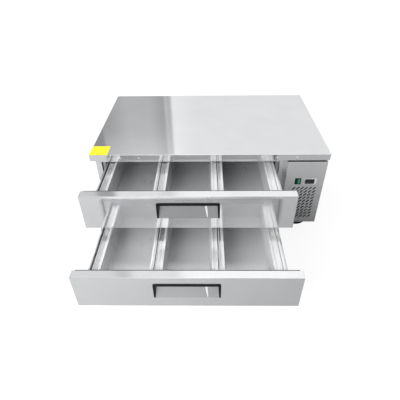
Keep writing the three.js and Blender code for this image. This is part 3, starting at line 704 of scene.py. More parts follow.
@dataclass(frozen=True)
class Film(Surface):
    """Polyethylene masking film: a flat bright colour with a slight sheen and soft ripples."""

    depth: float = 0.5 * MM
    strength: float = 0.4
    ripple: float = 26 * MM

    def patterns(self, tree: Tree) -> tuple[Source, Source]:
        """Returns the ripples, as a pattern and as relief."""
        ripple = self.noise(tree, self.ripple, detail=1.0)
        return self.sharpened(tree, ripple), ripple


@dataclass(frozen=True)
class CellFoam(Surface):
    """Rigid polyurethane foam: matt, cut open, with fine cells."""

    depth: float = 0.6 * MM
    cell: float = 2.5 * MM

    def patterns(self, tree: Tree) -> tuple[Source, Source]:
        """Makes the cells.

        Args:
            tree: the material's tree.

        Returns:
            The cells, as a pattern and as relief.
        """
        place = add_node(tree, "ShaderNodeTexCoord")
        cells = add_node(tree, "ShaderNodeTexVoronoi", None,
                         {"Vector": place.outputs["Object"], "Scale": 1 / self.cell})
        return cells, cells


class Finish(Enum):
    """The finishes of the chef base's own pieces."""

    SHEET = BrushedSteel("brushed_stainless_lengthwise", "steel", "#e9eaeb", "#dfe0e2", 0.06, 0.01,
                         metallic=0.84)
    FRONT = BrushedSteel("brushed_stainless_front", "steel", "#e9eaeb", "#dedfe1", 0.1, 0.02, metallic=0.84)
    UPRIGHT = BrushedSteel("brushed_stainless_upright", "steel", "#e6e7e8", "#d9dadc", 0.2, 0.04,
                           grain=Axis.Z)
    SIDE = BrushedSteel("brushed_stainless_side", "steel", "#e6e7e8", "#d9dadc", 0.2, 0.04, grain=Axis.Y)
    RAIL = BrushedSteel("brushed_stainless_rail", "steel", "#f4f5f5", "#e6e7e8", 0.22, 0.03, grain=Axis.Y,
                        metallic=0.42)
    PLATE = BrushedSteel("brushed_stainless_plate", "steel", "#dcdddf", "#cfd0d2", 0.2, 0.03, grain=Axis.Y)
    TRAY = BrushedSteel("drawn_stainless_tray", "inner_steel", "#e8e9ea", "#dddee0", 0.3, 0.04, grain=Axis.Y,
                        lengthwise=0.3, metallic=0.54)
    # A paler, less mirroring copy of the tray steel for the lower drawer: painted light, as more light falls
    # into the lower trays.
    LOWER_TRAY = BrushedSteel("drawn_stainless_lower_tray", "inner_steel", "#eeefef", "#e3e4e5", 0.3, 0.04,
                              grain=Axis.Y, lengthwise=0.3, metallic=0.42)
    PAN = BrushedSteel("stainless_inner_pan", "inner_steel", "#f2f3f4", "#e5e6e8", 0.2, 0.03, metallic=0.4)
    SCOOP = BrushedSteel("brushed_stainless_scoop", "steel", "#dcdddf", "#d0d1d3", 0.1, 0.03, metallic=0.84)
    LINER = BrushedSteel("stainless_liner", "inner_steel", "#ecedee", "#dfe0e2", 0.36, 0.05, lengthwise=0.3,
                         metallic=0.4)
    ZINC = PlatedSteel("bright_zinc_plate", "zinc", "#cfd2d4", "#b9bcbf", 0.3, 0.06)
    SCREW = PlatedSteel("stainless_fastener", "steel", "#d8d9da", "#c9cacb", 0.2, 0.05, blob=4 * MM)
    FOAM = CellFoam("rigid_polyurethane_foam", "foam", "#efe6c8", "#d8cba6", 0.85, 0.05)
    SEAL = Moulded("magnetic_gasket_rubber", "seal", "#232427", "#18191b", 0.6, 0.06)
    BLACK = Moulded("black_abs", "black_plastic", "#0d0d0e", "#08080a", 0.5, 0.05, gloss=0.3)
    WINDOW = Moulded("smoked_acrylic_window", "black_plastic", "#0c0d0f", "#08090a", 0.14, 0.03, coat=0.6)
    BEZEL = Moulded("pale_abs_bezel", "pale_plastic", "#cfd0d2", "#c2c3c6", 0.4, 0.05)
    SEGMENT = Moulded("unlit_display_segment", "black_plastic", "#34373b", "#2b2d31", 0.3, 0.04)
    # The rocker's green is its own colour; its paler right half is painted light.
    GREEN = GreenRockerPaintedLight("translucent_green_rocker", "green_plastic", "#35b585", "#06261c", 0.22, 0.04, coat=0.4)
    ENAMEL = Moulded("black_stoved_enamel", "black_paint", "#17181a", "#0e0f10", 0.4, 0.06, coat=0.1)
    ALLOY = Metallic("rolled_aluminium", "alloy", "#cdd1d5", "#b4b9be", 0.32, 0.06)
    COPPER = Metallic("drawn_copper", "copper", "#cf8358", "#a9603c", 0.28, 0.08)
    TYRE = Moulded("black_rubber_tyre", "tyre", "#222325", "#161718", 0.62, 0.06, grit=1.6 * MM)
    HUB = Moulded("grey_nylon_hub", "tyre", "#3b3c3f", "#2c2d30", 0.45, 0.05)
    FILM = Film("yellow_masking_film", "film", "#fffb04", "#f9f402", 0.45, 0.06)


class FinishBook:
    """Makes each material once, when it is first asked for."""

    def __init__(self) -> None:
        """Starts with no materials."""
        self.made: dict[Finish, Paint] = {}

    def material(self, finish: Finish) -> Paint:
        """Returns a finish's material, which is made at its first use.

        Args:
            finish: the finish.

        Returns:
            Its one material.
        """
        if finish not in self.made:
            self.made[finish] = finish.value.build()
        return self.made[finish]


# Geometry nodes for what repeats


class Repeat:
    """A geometry node tree that copies one small piece, with named inputs for its sizes."""

    def __init__(self, name: str, sizes: Mapping[str, object]) -> None:
        """Starts a tree with an input for each size.

        Args:
            name: of the tree.
            sizes: the value of each named input: a whole number, a number, a vector or an object.
        """
        kinds = {int: "NodeSocketInt", float: "NodeSocketFloat", Vector: "NodeSocketVector",
                 Piece: "NodeSocketObject", Paint: "NodeSocketMaterial"}
        self.sizes = sizes
        self.tree = bpy.data.node_groups.new(name, "GeometryNodeTree")
        sockets = self.tree.interface
        sockets.new_socket("Geometry", in_out="INPUT", socket_type="NodeSocketGeometry")
        self.identifiers = {
            key: sockets.new_socket(key, in_out="INPUT", socket_type=kinds[type(value)]).identifier
            for key, value in sizes.items()}
        sockets.new_socket("Geometry", in_out="OUTPUT", socket_type="NodeSocketGeometry")
        self.input = add_node(self.tree, "NodeGroupInput")

    def size(self, name: str) -> Socket:
        """Returns the socket of a named input."""
        return self.input.outputs[name]

    def line(self, count: str, step: str) -> Node:
        """Adds a row of points that starts at the origin.

        Args:
            count: the name of the input with their number.
            step: the name of the input with their distance.

        Returns:
            The points.
        """
        return add_node(self.tree, "GeometryNodeMeshLine", {"mode": "OFFSET"},
                        {"Count": self.size(count), "Offset": self.size(step)})

    def copies(self, points: Source, copied: Source) -> Node:
        """Puts copies on points and makes them real.

        Args:
            points: where the copies go.
            copied: the geometry of one.

        Returns:
            The geometry of all.
        """
        return self.real(add_node(self.tree, "GeometryNodeInstanceOnPoints", None,
                                  {"Points": points, "Instance": copied}))

    def real(self, instances: Source) -> Node:
        """Turns instances into plain geometry."""
        return add_node(self.tree, "GeometryNodeRealizeInstances", None, {"Geometry": instances})

    def item(self, name: str) -> Socket:
        """Returns the geometry of the object in a named input."""
        info = add_node(self.tree, "GeometryNodeObjectInfo", None, {"Object": self.size(name)})
        return info.outputs["Geometry"]

    def moved(self, geometry: Source, place: str) -> Node:
        """Moves geometry by a named vector."""
        return add_node(self.tree, "GeometryNodeTransform", None,
                        {"Geometry": geometry, "Translation": self.size(place)})

    def apply(self, base: Piece, geometry: Node, grain: Axis = Axis.X) -> Piece:
        """Ends the tree, runs it on a base object and keeps the plain mesh.

        Args:
            base: the object whose mesh goes in, and which holds what comes out.
            geometry: the last node of the tree.
            grain: the way of the brushed lines on the result.

        Returns:
            The base object with its new mesh.
        """
        painted = add_node(self.tree, "GeometryNodeSetMaterial", None,
                           {"Geometry": self.real(geometry), "Material": self.size("Material")})
        add_node(self.tree, "NodeGroupOutput", None, {0: painted})
        modifier = base.modifiers.new(self.tree.name, "NODES")
        modifier.node_group = self.tree
        for key, value in self.sizes.items():
            modifier[self.identifiers[key]] = value
        bake(base)
        map_grain(base, grain)
        soften(base)
        return base


def row_of(name: str, item: Piece, rows: Sequence[Row], material: Paint, grain: Axis = Axis.X) -> Piece:
    """Makes one piece of rows of copies.

    Args:
        name: the piece's name.
        item: what is copied, drawn at the origin. It is removed afterwards.
        rows: the start, step and count of each row.
        material: of all copies.
        grain: the way of the brushed lines.

    Returns:
        The piece.
    """
    sizes: dict[str, object] = {"Item": item, "Material": material}
    for index, (start, step, count) in enumerate(rows):
        sizes |= {f"Start {index}": start, f"Step {index}": step, f"Count {index}": count}
    repeat = Repeat(f"{name}_rows", sizes)
    whole = add_node(repeat.tree, "GeometryNodeJoinGeometry")
    for index in range(len(rows)):
        copies = repeat.copies(repeat.line(f"Count {index}", f"Step {index}"), repeat.item("Item"))
        fill_inputs(repeat.tree, whole, {"Geometry": repeat.moved(copies, f"Start {index}")})
    piece = repeat.apply(put(name, bpy.data.meshes.new(name)), whole, grain)
    bpy.data.objects.remove(item)
    return piece


def perforated(base: Piece, cutter: Piece, start: Vector, along: tuple[Vector, int],
               down: tuple[Vector, int], material: Paint, grain: Axis = Axis.X,
               windows: Piece | None = None) -> Piece:
    """Cuts a field of equal holes through a piece.

    Args:
        base: the piece to cut.
        cutter: the shape of one hole, drawn at the origin. It is removed afterwards.
        start: the middle of the first hole.
        along: the step from hole to hole in a row, and their number.
        down: the step from row to row, and their number.
        material: of the piece.
        grain: the way of the brushed lines.
        windows: what else is cut away, in its own place. It is removed afterwards.

    Returns:
        The piece with its holes.
    """
    sizes: dict[str, object] = {
        "Cutter": cutter, "Material": material, "Start": start, "Hole step": along[0], "Holes": along[1],
        "Row step": down[0], "Rows": down[1]}
    if windows:
        sizes["Windows"] = windows
    repeat = Repeat(f"{base.name}_field", sizes)
    rows = repeat.copies(repeat.line("Rows", "Row step"), repeat.line("Holes", "Hole step"))
    cut = add_node(repeat.tree, "GeometryNodeMeshBoolean", {"operation": "DIFFERENCE", "solver": "EXACT"},
                   {"Mesh 1": repeat.input.outputs["Geometry"]})
    holes = repeat.moved(repeat.copies(rows, repeat.item("Cutter")), "Start")
    fill_inputs(repeat.tree, cut, {"Mesh 2": holes})
    if windows:
        fill_inputs(repeat.tree, cut, {"Mesh 2": repeat.item("Windows")})
    piece = repeat.apply(base, cut, grain)
    for used in filter(None, (cutter, windows)):
        bpy.data.objects.remove(used)
    return piece


@dataclass
class SubAssembly:
    """Pieces that are built and dressed together.

    Attributes:
        finishes: where the materials come from.
        body: the frame's body that the pieces ride on.
    """

    finishes: FinishBook
    body: str = "root"

    def build(self) -> None:
        """Makes and dresses every piece."""
        raise NotImplementedError

    def keep(self, piece: Piece, finish: Finish, *nodes: str, body: str | None = None) -> Piece:
        """Dresses a finished piece and lets it ride on its body.

        Args:
            piece: the piece, at the origin.
            finish: what it is dressed with.
            nodes: the frame's nodes that it stands for.
            body: the body, where it isn't the sub-assembly's own.

        Returns:
            The same piece.
        """
        piece.data.materials.clear()
        piece.data.materials.append(self.finishes.material(finish))
        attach(piece, body or self.body)
        if nodes:
            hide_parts(*nodes)
        LOG.info("%s: %d faces, %s, on %s", piece.name, len(piece.data.polygons), finish.value.name,
                 body or self.body)
        return piece

    def dress_node(self, name: str, finish: Finish) -> None:
        """Dresses a node of the frame that stays as it is.

        Args:
            name: the node's name.
            finish: what it is dressed with.
        """
        node = bpy.data.objects[name]
        node.material_slots[0].material = self.finishes.material(finish)
        LOG.info("%s: kept from the frame, %s", node.name, finish.value.name)

    def lay_rows(self, name: str, item: Piece, rows: Sequence[Row], finish: Finish, *nodes: str,
                 grain: Axis = Axis.X) -> None:
        """Makes and dresses one piece of rows of copies.

        Args:
            name: the piece's name.
            item: what is copied, drawn at the origin.
            rows: the start, step and count of each row.
            finish: what the piece is dressed with.
            nodes: the frame's nodes that it stands for.
            grain: the way of the brushed lines.
        """
        self.keep(row_of(name, item, rows, self.finishes.material(finish), grain), finish, *nodes)


@dataclass
class Cabinet(SubAssembly):
    """The worktop, the outer panels, the front frame and the cold box."""

    sheet: float = 1.5 * MM
    bend: float = 2.6 * MM
    corner: float = 3 * MM
    clearance: float = 0.3 * MM
    film_corner: float = 1.5 * MM
    edge: float = 0.5 * MM
    spot_radius: float = 4.2 * MM
    spot_height: float = 0.9 * MM
    spots: Sequence[float] = (-493 * MM, -389 * MM, 372 * MM, 481 * MM)
    seal_lap: float = 12 * MM
    header_drop: float = 30 * MM

    def build(self) -> None:
        """Makes and dresses every piece."""
        self.worktop()
        self.film()
        self.edge_studs()
        self.front_frame()
        self.machine_header()
        for name, finish in (("left_side_panel", Finish.SIDE), ("right_side_panel", Finish.SIDE),
                             ("back_panel", Finish.SHEET), ("bottom_panel", Finish.SHEET)):
            self.panel(name, finish)
        self.dress_node("inner_liner", Finish.LINER)
        self.dress_node("partition_panel", Finish.LINER)
        self.dress_node("insulation", Finish.FOAM)

    def worktop(self) -> None:
        """Folds the worktop out of one sheet, its lip turned in underneath."""
        low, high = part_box("worktop")
        top, sheet, fold = high.z - self.clearance, self.sheet, self.bend - self.sheet
        outer = Rect.of(low, high, Axis.Z)
        mouth = Rect(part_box("left_side_panel")[0].x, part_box("right_side_panel")[1].x,
                     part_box("front_frame")[0].y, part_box("back_panel")[1].y).shrunk(-self.clearance)
        lap = self.bend + self.edge
        inside = rounded([(2 * lap, top - sheet, 0), (sheet, top - sheet, fold), (sheet, low.z + sheet, fold),
                          (lap, low.z + sheet, 0)], closed=False)
        outside = rounded([(lap, low.z, 0), (0, low.z, self.bend), (0, top, self.bend), (2 * lap, top, 0)],
                          closed=False)
        draft = Draft()
        draft.loft(outer.steps(inside, self.corner)
                   + mouth.steps([(0, low.z + sheet), (0, low.z)], self.corner)
                   + outer.steps(outside, self.corner), Axis.Z)
        self.keep(draft.finish("worktop_pan"), Finish.SHEET, "worktop")

    def film(self) -> None:
        """Lays the film on the corner of the worktop."""
        low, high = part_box("corner_film")
        draft = Draft()
        top, under = high.z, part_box("worktop")[1].z - 0.9 * self.clearance
        draft.pan(Rect.of(low, high, Axis.Z), [(0, under), (0, top - 0.1 * self.clearance),
                                               (0.2 * self.clearance, top)], self.film_corner, Axis.Z)
        self.keep(draft.finish("corner_masking_film"), Finish.FILM, "corner_film")

    def edge_studs(self) -> None:
        """Sets the four flat heads into the worktop's front edge."""
        low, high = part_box("worktop")
        radius, height = self.spot_radius, self.spot_height
        head = Draft()
        head.turn([(radius, 0), (radius, -height * 0.5), (radius * 0.7, -height)], ORIGIN, Axis.Y, 20)
        rows = [(Vector((x, low.y, (low.z + high.z) / 2)), Axis.X.unit, 1) for x in self.spots]
        self.lay_rows("worktop_edge_studs", head.finish("stud"), rows, Finish.RAIL)

    def front_frame(self) -> None:
        """Cuts the two drawer openings out of the front sheet."""
        low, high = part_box("front_frame")
        liner_low, liner_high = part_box("inner_liner")
        us = [low.x, liner_low.x + self.sheet, liner_high.x - self.sheet, high.x]
        vs = [low.z, liner_low.z + self.sheet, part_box("lower_gasket")[1].z - self.seal_lap,
              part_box("upper_gasket")[0].z + self.seal_lap, liner_high.z - self.sheet, high.z]
        draft = Draft()
        draft.grid(us, vs, [(1, 1), (1, 3)], Axis.Y, low.y, high.y)
        self.keep(draft.finish("front_stiles", bevel=self.edge), Finish.UPRIGHT, "front_frame")

    def machine_header(self) -> None:
        """Carries the frame's header on to the right side panel, behind the gap over the machine cover."""
        low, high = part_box("front_frame")
        draft = Draft()
        draft.block(Vector((high.x + self.clearance, low.y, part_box("machine_cover")[1].z - self.header_drop)),
                    Vector((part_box("right_side_panel")[0].x - self.clearance, high.y, high.z)), self.edge)
        self.keep(draft.finish("machine_header"), Finish.UPRIGHT)

    def panel(self, node: str, finish: Finish) -> None:
        """Makes a flat panel with its edges broken.

        Args:
            node: the frame's node.
            finish: a brushed steel.
        """
        draft = Draft()
        draft.block(*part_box(node), self.edge)
        self.keep(draft.finish(f"{node}_sheet", finish.value.grain), finish, node)


@dataclass
class DrawerSlides(SubAssembly):
    """One side of the telescopic slides: posts with both fixed members, and the two middle members.

    Attributes:
        side: left or right, as in the names of the frame's nodes.
    """

    side: str = "left"
    member: float = 1.2 * MM
    member_bend: float = 1.7 * MM
    nest: float = 1.8 * MM
    flange: float = 9 * MM
    post: float = 2 * MM
    post_bend: float = 3 * MM
    post_depth: float = 34 * MM
    post_shares: Sequence[float] = (0.04, 0.5, 0.96)
    hole: tuple[float, float] = (22 * MM, 7 * MM)
    hole_pitch: float = 64 * MM

    def build(self) -> None:
        """Makes and dresses every piece."""
        self.outward = -1 if self.side == "left" else 1
        self.rack()
        for level in ("upper", "lower"):
            self.middle(level)

    def channel(self, web: float, tip: float, low: float, high: float) -> list[Flat]:
        """Returns the section of a slide member.

        Args:
            web: the x of the web's outer face.
            tip: the x where the flanges end.
            low: the bottom.
            high: the top.

        Returns:
            The section in (x, z).
        """
        half = self.member / 2
        web -= half * self.outward
        return folded([(tip, high - half, 0), (web, high - half, self.member_bend),
                       (web, low + half, self.member_bend), (tip, low + half, 0)], self.member)

    def rack(self) -> None:
        """Makes the posts with the fixed members on them."""
        node = f"slide_rack_{self.side}"
        low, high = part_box(node)
        far = low.x if self.outward < 0 else high.x
        draft = Draft()
        for level in ("upper", "lower"):
            middle_low, middle_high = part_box(f"{level}_slide_middle_{self.side}")
            web = (middle_low.x if self.outward < 0 else middle_high.x) + self.outward * self.nest
            draft.draw(self.channel(web, web - self.outward * self.flange, middle_low.z - self.nest,
                                    middle_high.z + self.nest), Axis.Y, low.y, high.y)
        face = web + self.outward * self.post / 2
        half = (self.post_depth - self.post) / 2
        for share in self.post_shares:
            y = low.y + share * (high.y - low.y)
            post = folded([(far, y - half, 0), (face, y - half, self.post_bend),
                           (face, y + half, self.post_bend), (far, y + half, 0)], self.post)
            draft.draw(post, Axis.Z, low.z, high.z)
        self.keep(draft.finish(f"slide_posts_{self.side}", Axis.Y), Finish.ZINC, node)

    def middle(self, level: str) -> None:
        """Makes a middle member, with oval holes along its web.

        Args:
            level: upper or lower.
        """
        node = f"{level}_slide_middle_{self.side}"
        low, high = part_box(node)
        web, tip = (low.x, high.x) if self.outward < 0 else (high.x, low.x)
        draft = Draft()
        draft.draw(self.channel(web, tip, low.z, high.z), Axis.Y, low.y, high.y)
        cutter = Draft()
        cutter.draw(Rect.about(0, 0, *self.hole).loop(self.hole[1] / 2, 4), Axis.X, -self.flange / 2,
                    self.flange / 2)
        count = int((high.y - low.y) / self.hole_pitch)
        first = Vector((web, (low.y + high.y - (count - 1) * self.hole_pitch) / 2, (low.z + high.z) / 2))
        piece = perforated(draft.finish(f"{node}_member", Axis.Y), cutter.finish("hole"), first,
                           (Vector((0, self.hole_pitch, 0)), count), (Axis.Z.unit, 1),
                           self.finishes.material(Finish.ZINC), Axis.Y)
        self.keep(piece, Finish.ZINC, node, body=f"{level}_slides")


@dataclass
class Drawer(SubAssembly):
    """A drawer: front with its recessed handle, frame, and three lift-out trays.

    Attributes:
        level: upper or lower, as in the names of the frame's nodes.
    """

    level: str = "upper"
    sheet: float = 1.2 * MM
    bend: float = 2.4 * MM
    clearance: float = 0.3 * MM
    gasket_width: float = 7 * MM
    gasket_waist: float = 1.2 * MM
    gasket_bend: float = 0.8 * MM
    gasket_drop: float = 0.4 * MM
    trim_bar: float = 16 * MM
    trim_leg: float = 13 * MM
    trim_foot: float = 8 * MM
    trim_corner: float = 9 * MM
    trim_thickness: float = 2.3 * MM
    trim_edge: float = 2 * MM
    hook_drop: float = 3 * MM
    pocket_flat: float = 30 * MM
    frame_half: float = 474 * MM
    groove: float = 17 * MM
    lips: tuple[float, float] = (5 * MM, 15 * MM)
    wall: float = 1.6 * MM
    wall_bend: float = 2.2 * MM
    hem: float = 4.4 * MM
    hem_rise: float = 3 * MM
    ridge: float = 4 * MM
    ridge_width: float = 4.2 * MM
    ridge_drop: float = 32 * MM
    ridge_shifts: tuple[float, float] = (-6 * MM, 6.5 * MM)
    slot: float = 5.5 * MM
    strip: float = 0.8 * MM
    crease: tuple[float, float, float] = (0.775, 0.82, 0.032)
    crease_rise: float = 1.6 * MM
    tray_rim: float = 14 * MM
    tray_sheet: float = 0.9 * MM
    tray_front_rim: float = 4 * MM
    tray_corner: float = 9 * MM
    tray_fillet: float = 13 * MM
    tray_taper: float = 4 * MM
    bead: float = 1.5 * MM
    bead_width: float = 9 * MM
    rim_skin: float = 0.15 * MM
    rivet_radius: float = 2.6 * MM
    rivet_height: float = 1.1 * MM
    rivet_pitch: float = 58 * MM
    member_step: float = 1.8 * MM
    back_gap: float = 6 * MM

    def build(self) -> None:
        """Makes and dresses every piece."""
        self.body = f"{self.level}_drawer"
        self.shell_low, self.shell_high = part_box(self.node("front_shell"))
        self.frame_low, self.frame_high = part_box(self.node("drawer_frame"))
        words = ("left", "middle", "right")
        self.trays = [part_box(self.node(f"tray_{word}")) for word in words]
        self.centre = (self.frame_low.x + self.frame_high.x) / 2
        self.top = self.frame_high.z - self.ridge
        self.front()
        self.inner_pan()
        self.gasket()
        self.handle()
        self.scoop()
        self.frame()
        self.rivets()
        for word, corners in zip(words, self.trays):
            self.tray(word, *corners)

    def node(self, name: str) -> str:
        """Returns the full name of one of this drawer's nodes."""
        return f"{self.level}_{name}"

    def front(self) -> None:
        """Folds the front out of one sheet, with a window for the handle."""
        low, high, sheet = self.shell_low, self.shell_high, self.sheet
        outer = Rect.of(low, high, Axis.Y)
        window = Rect.of(*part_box(self.node("handle_pocket")), Axis.Y).shrunk(-self.clearance)
        bend, behind = self.bend, window.shrunk(-sheet)
        outside = rounded([(0, high.y, 0), (0, low.y, bend), (2 * bend, low.y, 0)], closed=False)
        inside = rounded([(2 * bend, low.y + sheet, 0), (sheet, low.y + sheet, bend - sheet),
                          (sheet, high.y, 0)], closed=False)
        hem = [(window, bend, low.y), (window, bend, low.y + 2 * sheet), (behind, bend, low.y + 2 * sheet),
               (behind, bend, low.y + sheet)]
        draft = Draft()
        draft.loft(outer.steps(outside, bend) + hem + outer.steps(inside, bend), Axis.Y, closed=True)
        self.keep(draft.finish(self.node("front_skin")), Finish.FRONT, self.node("front_shell"))

    def inner_pan(self) -> None:
        """Closes the back of the front with a pressed pan."""
        low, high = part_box(self.node("front_liner"))
        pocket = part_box(self.node("handle_pocket"))[1].y
        bend = self.bend
        draft = Draft()
        profile = rounded([(0, pocket + 3 * self.sheet, 0), (0, high.y, bend), (2 * bend, high.y, 0)],
                          closed=False)
        draft.pan(Rect.of(low, high, Axis.Y), profile, bend, Axis.Y)
        self.keep(draft.finish(self.node("front_inner_pan")), Finish.PAN, self.node("front_liner"))

    def gasket(self) -> None:
        """Runs the magnetic seal round the back of the front."""
        low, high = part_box(self.node("gasket"))
        width, waist, bend = self.gasket_width, self.gasket_waist, self.gasket_bend
        outer = Rect(low.x, high.x, low.z, self.shell_high.z - self.gasket_drop)
        section = rounded([
            (0, low.y, 0), (0, high.y - waist, bend), (waist, high.y, bend), (width - waist, high.y, bend),
            (width, high.y - waist, bend), (width, low.y + 2 * waist, 0.5 * MM),
            (width - waist, low.y + waist, 0), (width - waist, low.y, 0)], steps=3)
        draft = Draft()
        draft.pan(outer, section, 3 * waist, Axis.Y, closed=True)
        self.keep(draft.finish(self.node("gasket_ring")), Finish.SEAL, self.node("gasket"))

    def handle(self) -> None:
        """Makes the black trim with its grip edge."""
        low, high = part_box(self.node("handle_trim"))
        bar, leg, foot, edge = high.z - self.trim_bar, self.trim_leg, self.trim_foot, self.trim_edge
        outline = rounded([
            (low.x, low.z, edge), (low.x + foot, low.z, edge), (low.x + leg, bar, edge),
            (high.x - leg, bar, edge), (high.x - foot, low.z, edge), (high.x, low.z, edge),
            (high.x, high.z, self.trim_corner), (low.x, high.z, self.trim_corner)])
        trim = Draft()
        trim.draw(outline, Axis.Y, low.y, low.y + self.trim_thickness)
        inset = leg + self.clearance
        trim.block(Vector((low.x + inset, low.y + self.clearance, bar)),
                   Vector((high.x - inset, high.y, bar + self.hook_drop)))
        self.keep(trim.finish(self.node("handle_surround"), bevel=0.7 * MM), Finish.BLACK,
                  self.node("handle_trim"))

    def scoop(self) -> None:
        """Folds the steel scoop behind the trim and closes its ends."""
        low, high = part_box(self.node("handle_pocket"))
        half = self.sheet / 2
        knee = high.z - self.pocket_flat
        scoop = Draft()
        scoop.draw(folded([(low.y + half, low.z + half, 0), (high.y - half, knee, 5 * MM),
                           (high.y - half, high.z - half, 3 * MM), (low.y + half, high.z - half, 0)],
                          self.sheet), Axis.X, low.x, high.x)
        end = [(low.y + half, low.z + self.sheet), (high.y - self.sheet, knee),
               (high.y - self.sheet, high.z - half), (low.y + half, high.z - half)]
        for start in (low.x, high.x - self.sheet):
            scoop.draw(end, Axis.X, start, start + self.sheet)
        self.keep(scoop.finish(self.node("handle_scoop"), Axis.Z), Finish.SCOOP, self.node("handle_pocket"))
        self.crease_line(low, high, knee)

    def crease_line(self, low: Vector, high: Vector, knee: float) -> None:
        """Runs the slanting crease down the scoop's sheet, inside its right end.

        Args:
            low: the pocket's least corner.
            high: its greatest corner.
            knee: the height where its back bends forward.
        """
        start, end, width = (share * (high.x - low.x) for share in self.crease)
        rise = self.crease_rise
        back = high.y - self.sheet
        path = [(start, back, high.z - 3 * self.sheet),
                (start + 0.35 * (end - start), back, knee + 3 * self.sheet),
                (end, low.y + 2 * self.sheet, low.z + 2 * self.sheet)]
        crease = Draft()
        crease.skin([[Vector((low.x + along - width / 2, y, z)), Vector((low.x + along, y - rise, z + rise)),
                      Vector((low.x + along + width / 2, y, z)), Vector((low.x + along, y + rise, z - rise))]
                     for along, y, z in path])
        self.keep(crease.finish(self.node("handle_crease"), Axis.Z), Finish.RAIL)

    def frame(self) -> None:
        """Makes the frame under the trays, with its side channels, dividers and inner slide members; the left
        outer channel carries painted shade.
        """
        low, high, top, wall = self.frame_low, self.frame_high, self.top, self.wall
        inner = self.frame_half - self.groove
        half, bend, hem = wall / 2, self.wall_bend, self.hem - wall
        crest = top + self.hem_rise - half
        edge, turned = self.frame_half - half, inner - half - hem
        draft, channel = Draft(), Draft()
        for side, lip in zip((-1, 1), self.lips):
            outer = folded([(self.frame_half - lip, top - half, 0), (edge, top - half, bend),
                            (edge, low.z + half, bend), (inner, low.z + half, 0)], wall)
            upright = folded([(inner - half, low.z, 0), (inner - half, crest, hem / 2),
                              (turned, crest, hem / 2), (turned, top - 2 * wall, 0)], wall)
            # The left side's outer channel goes to a piece of its own in the darker plate finish: painted shade
            # on the same steel as the right one.
            for section, where in ((outer, channel if side < 0 else draft), (upright, draft)):
                where.draw([(self.centre + side * u, v) for u, v in section], Axis.Y, low.y, high.y)
            web = low.x if side < 0 else high.x
            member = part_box(self.node(f"slide_middle_{'left' if side < 0 else 'right'}"))
            tip = self.centre + side * self.frame_half
            under, over = member[0].z + self.member_step + half, member[1].z - self.member_step - half
            inner_member = folded([(web, over, 0), (tip, over, bend), (tip, under, bend), (web, under, 0)],
                                  self.sheet)
            draft.draw(inner_member, Axis.Y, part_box("slide_rack_left")[0].y + self.travel(), high.y)
        for near, far in ((low.y, low.y + 2 * wall), (high.y - 2 * wall, high.y)):
            draft.block(Vector((self.centre - inner, near, low.z)), Vector((self.centre + inner, far, top)))
        self.keep(draft.finish(self.node("tray_frame"), Axis.Y), Finish.RAIL, self.node("drawer_frame"))
        self.keep(channel.finish(self.node("frame_channel"), Axis.Y), Finish.PLATE, self.node("drawer_frame"))
        self.plate(inner - self.hem - 0.2 * MM)

    def travel(self) -> float:
        """Returns how far the drawer stands open, as a move along Y."""
        return self.frame_low.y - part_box("front_frame")[0].y - self.back_gap

    def plate(self, reach: float) -> None:
        """Makes the top plate with its tray windows and slots, and the ridges between the trays.

        Args:
            reach: from the frame's middle to each side of the plate.
        """
        low, high, top = self.frame_low, self.frame_high, self.top
        draft, ridges = Draft(), Draft()
        us, holes = [self.centre - reach], []
        inset = self.tray_rim - 2 * self.tray_sheet
        edges = [(tray[0].x + inset, tray[1].x - inset) for tray in self.trays]
        crown, half, floor = 1.8 * MM, self.wall / 2, top - self.ridge_drop
        for index, (left, right) in enumerate(edges):
            holes.append((len(us), 1))
            us += [left, right]
            if index < len(edges) - 1:
                near = (right + edges[index + 1][0]) / 2 + self.ridge_shifts[index] - self.ridge_width / 2
                far = near + self.ridge_width
                holes.append((len(us), 1))
                us += [near - self.slot, near]
                side = near - self.slot - half
                trough = [(side, top - half, 0), (side, floor, self.wall_bend), (near + half, floor, 0)]
                draft.draw(folded(trough, self.wall), Axis.Y, low.y + self.wall, high.y - self.wall)
                ridges.draw(rounded([(near, top + self.ridge, crown), (near, floor, 0), (far, floor, 0),
                                     (far, top + self.ridge, crown)]), Axis.Y, low.y, high.y)
        us.append(self.centre + reach)
        edge = self.clearance
        for left, right in ((self.trays[1][1].x, us[us.index(edges[1][1]) + 1]),
                            (self.trays[2][1].x, self.centre + reach)):
            ridges.block(Vector((left + edge, low.y, top - edge)),
                         Vector((right, high.y, top + self.strip)), edge)
        tray_low, tray_high = self.trays[0]
        vs = [low.y, tray_low.y + self.tray_front_rim - 2 * self.tray_sheet, tray_high.y - inset, high.y]
        draft.grid(us, vs, holes, Axis.Z, top - self.wall, top)
        self.keep(draft.finish(self.node("frame_plate"), Axis.Y), Finish.PLATE, self.node("drawer_frame"))
        self.keep(ridges.finish(self.node("frame_ridges"), Axis.Y), Finish.RAIL, self.node("drawer_frame"))

    def rivets(self) -> None:
        """Runs rivets along the plate beside the trays."""
        radius, height = self.rivet_radius, self.rivet_height
        head = Draft()
        head.turn([(radius, -self.clearance), (radius, self.clearance), (radius * 0.7, height - 0.2 * MM),
                   (radius * 0.3, height)], ORIGIN, Axis.Z, 14)
        length = self.frame_high.y - self.frame_low.y
        count = int(length / self.rivet_pitch)
        first = self.frame_low.y + (length - (count - 1) * self.rivet_pitch) / 2
        inner = self.frame_half - self.groove
        places = [x for low, high in self.trays
                  for x in (low.x - self.rivet_pitch / 6, high.x + self.rivet_pitch / 6)]
        places[0] = (self.centre - inner + self.trays[0][0].x) / 2
        places[-1] = (self.centre + inner + self.trays[-1][1].x) / 2
        rows = [(Vector((x, first, self.top)), Vector((0, self.rivet_pitch, 0)), count) for x in places]
        self.lay_rows(self.node("frame_rivets"), head.finish("rivet"), rows, Finish.SCREW)

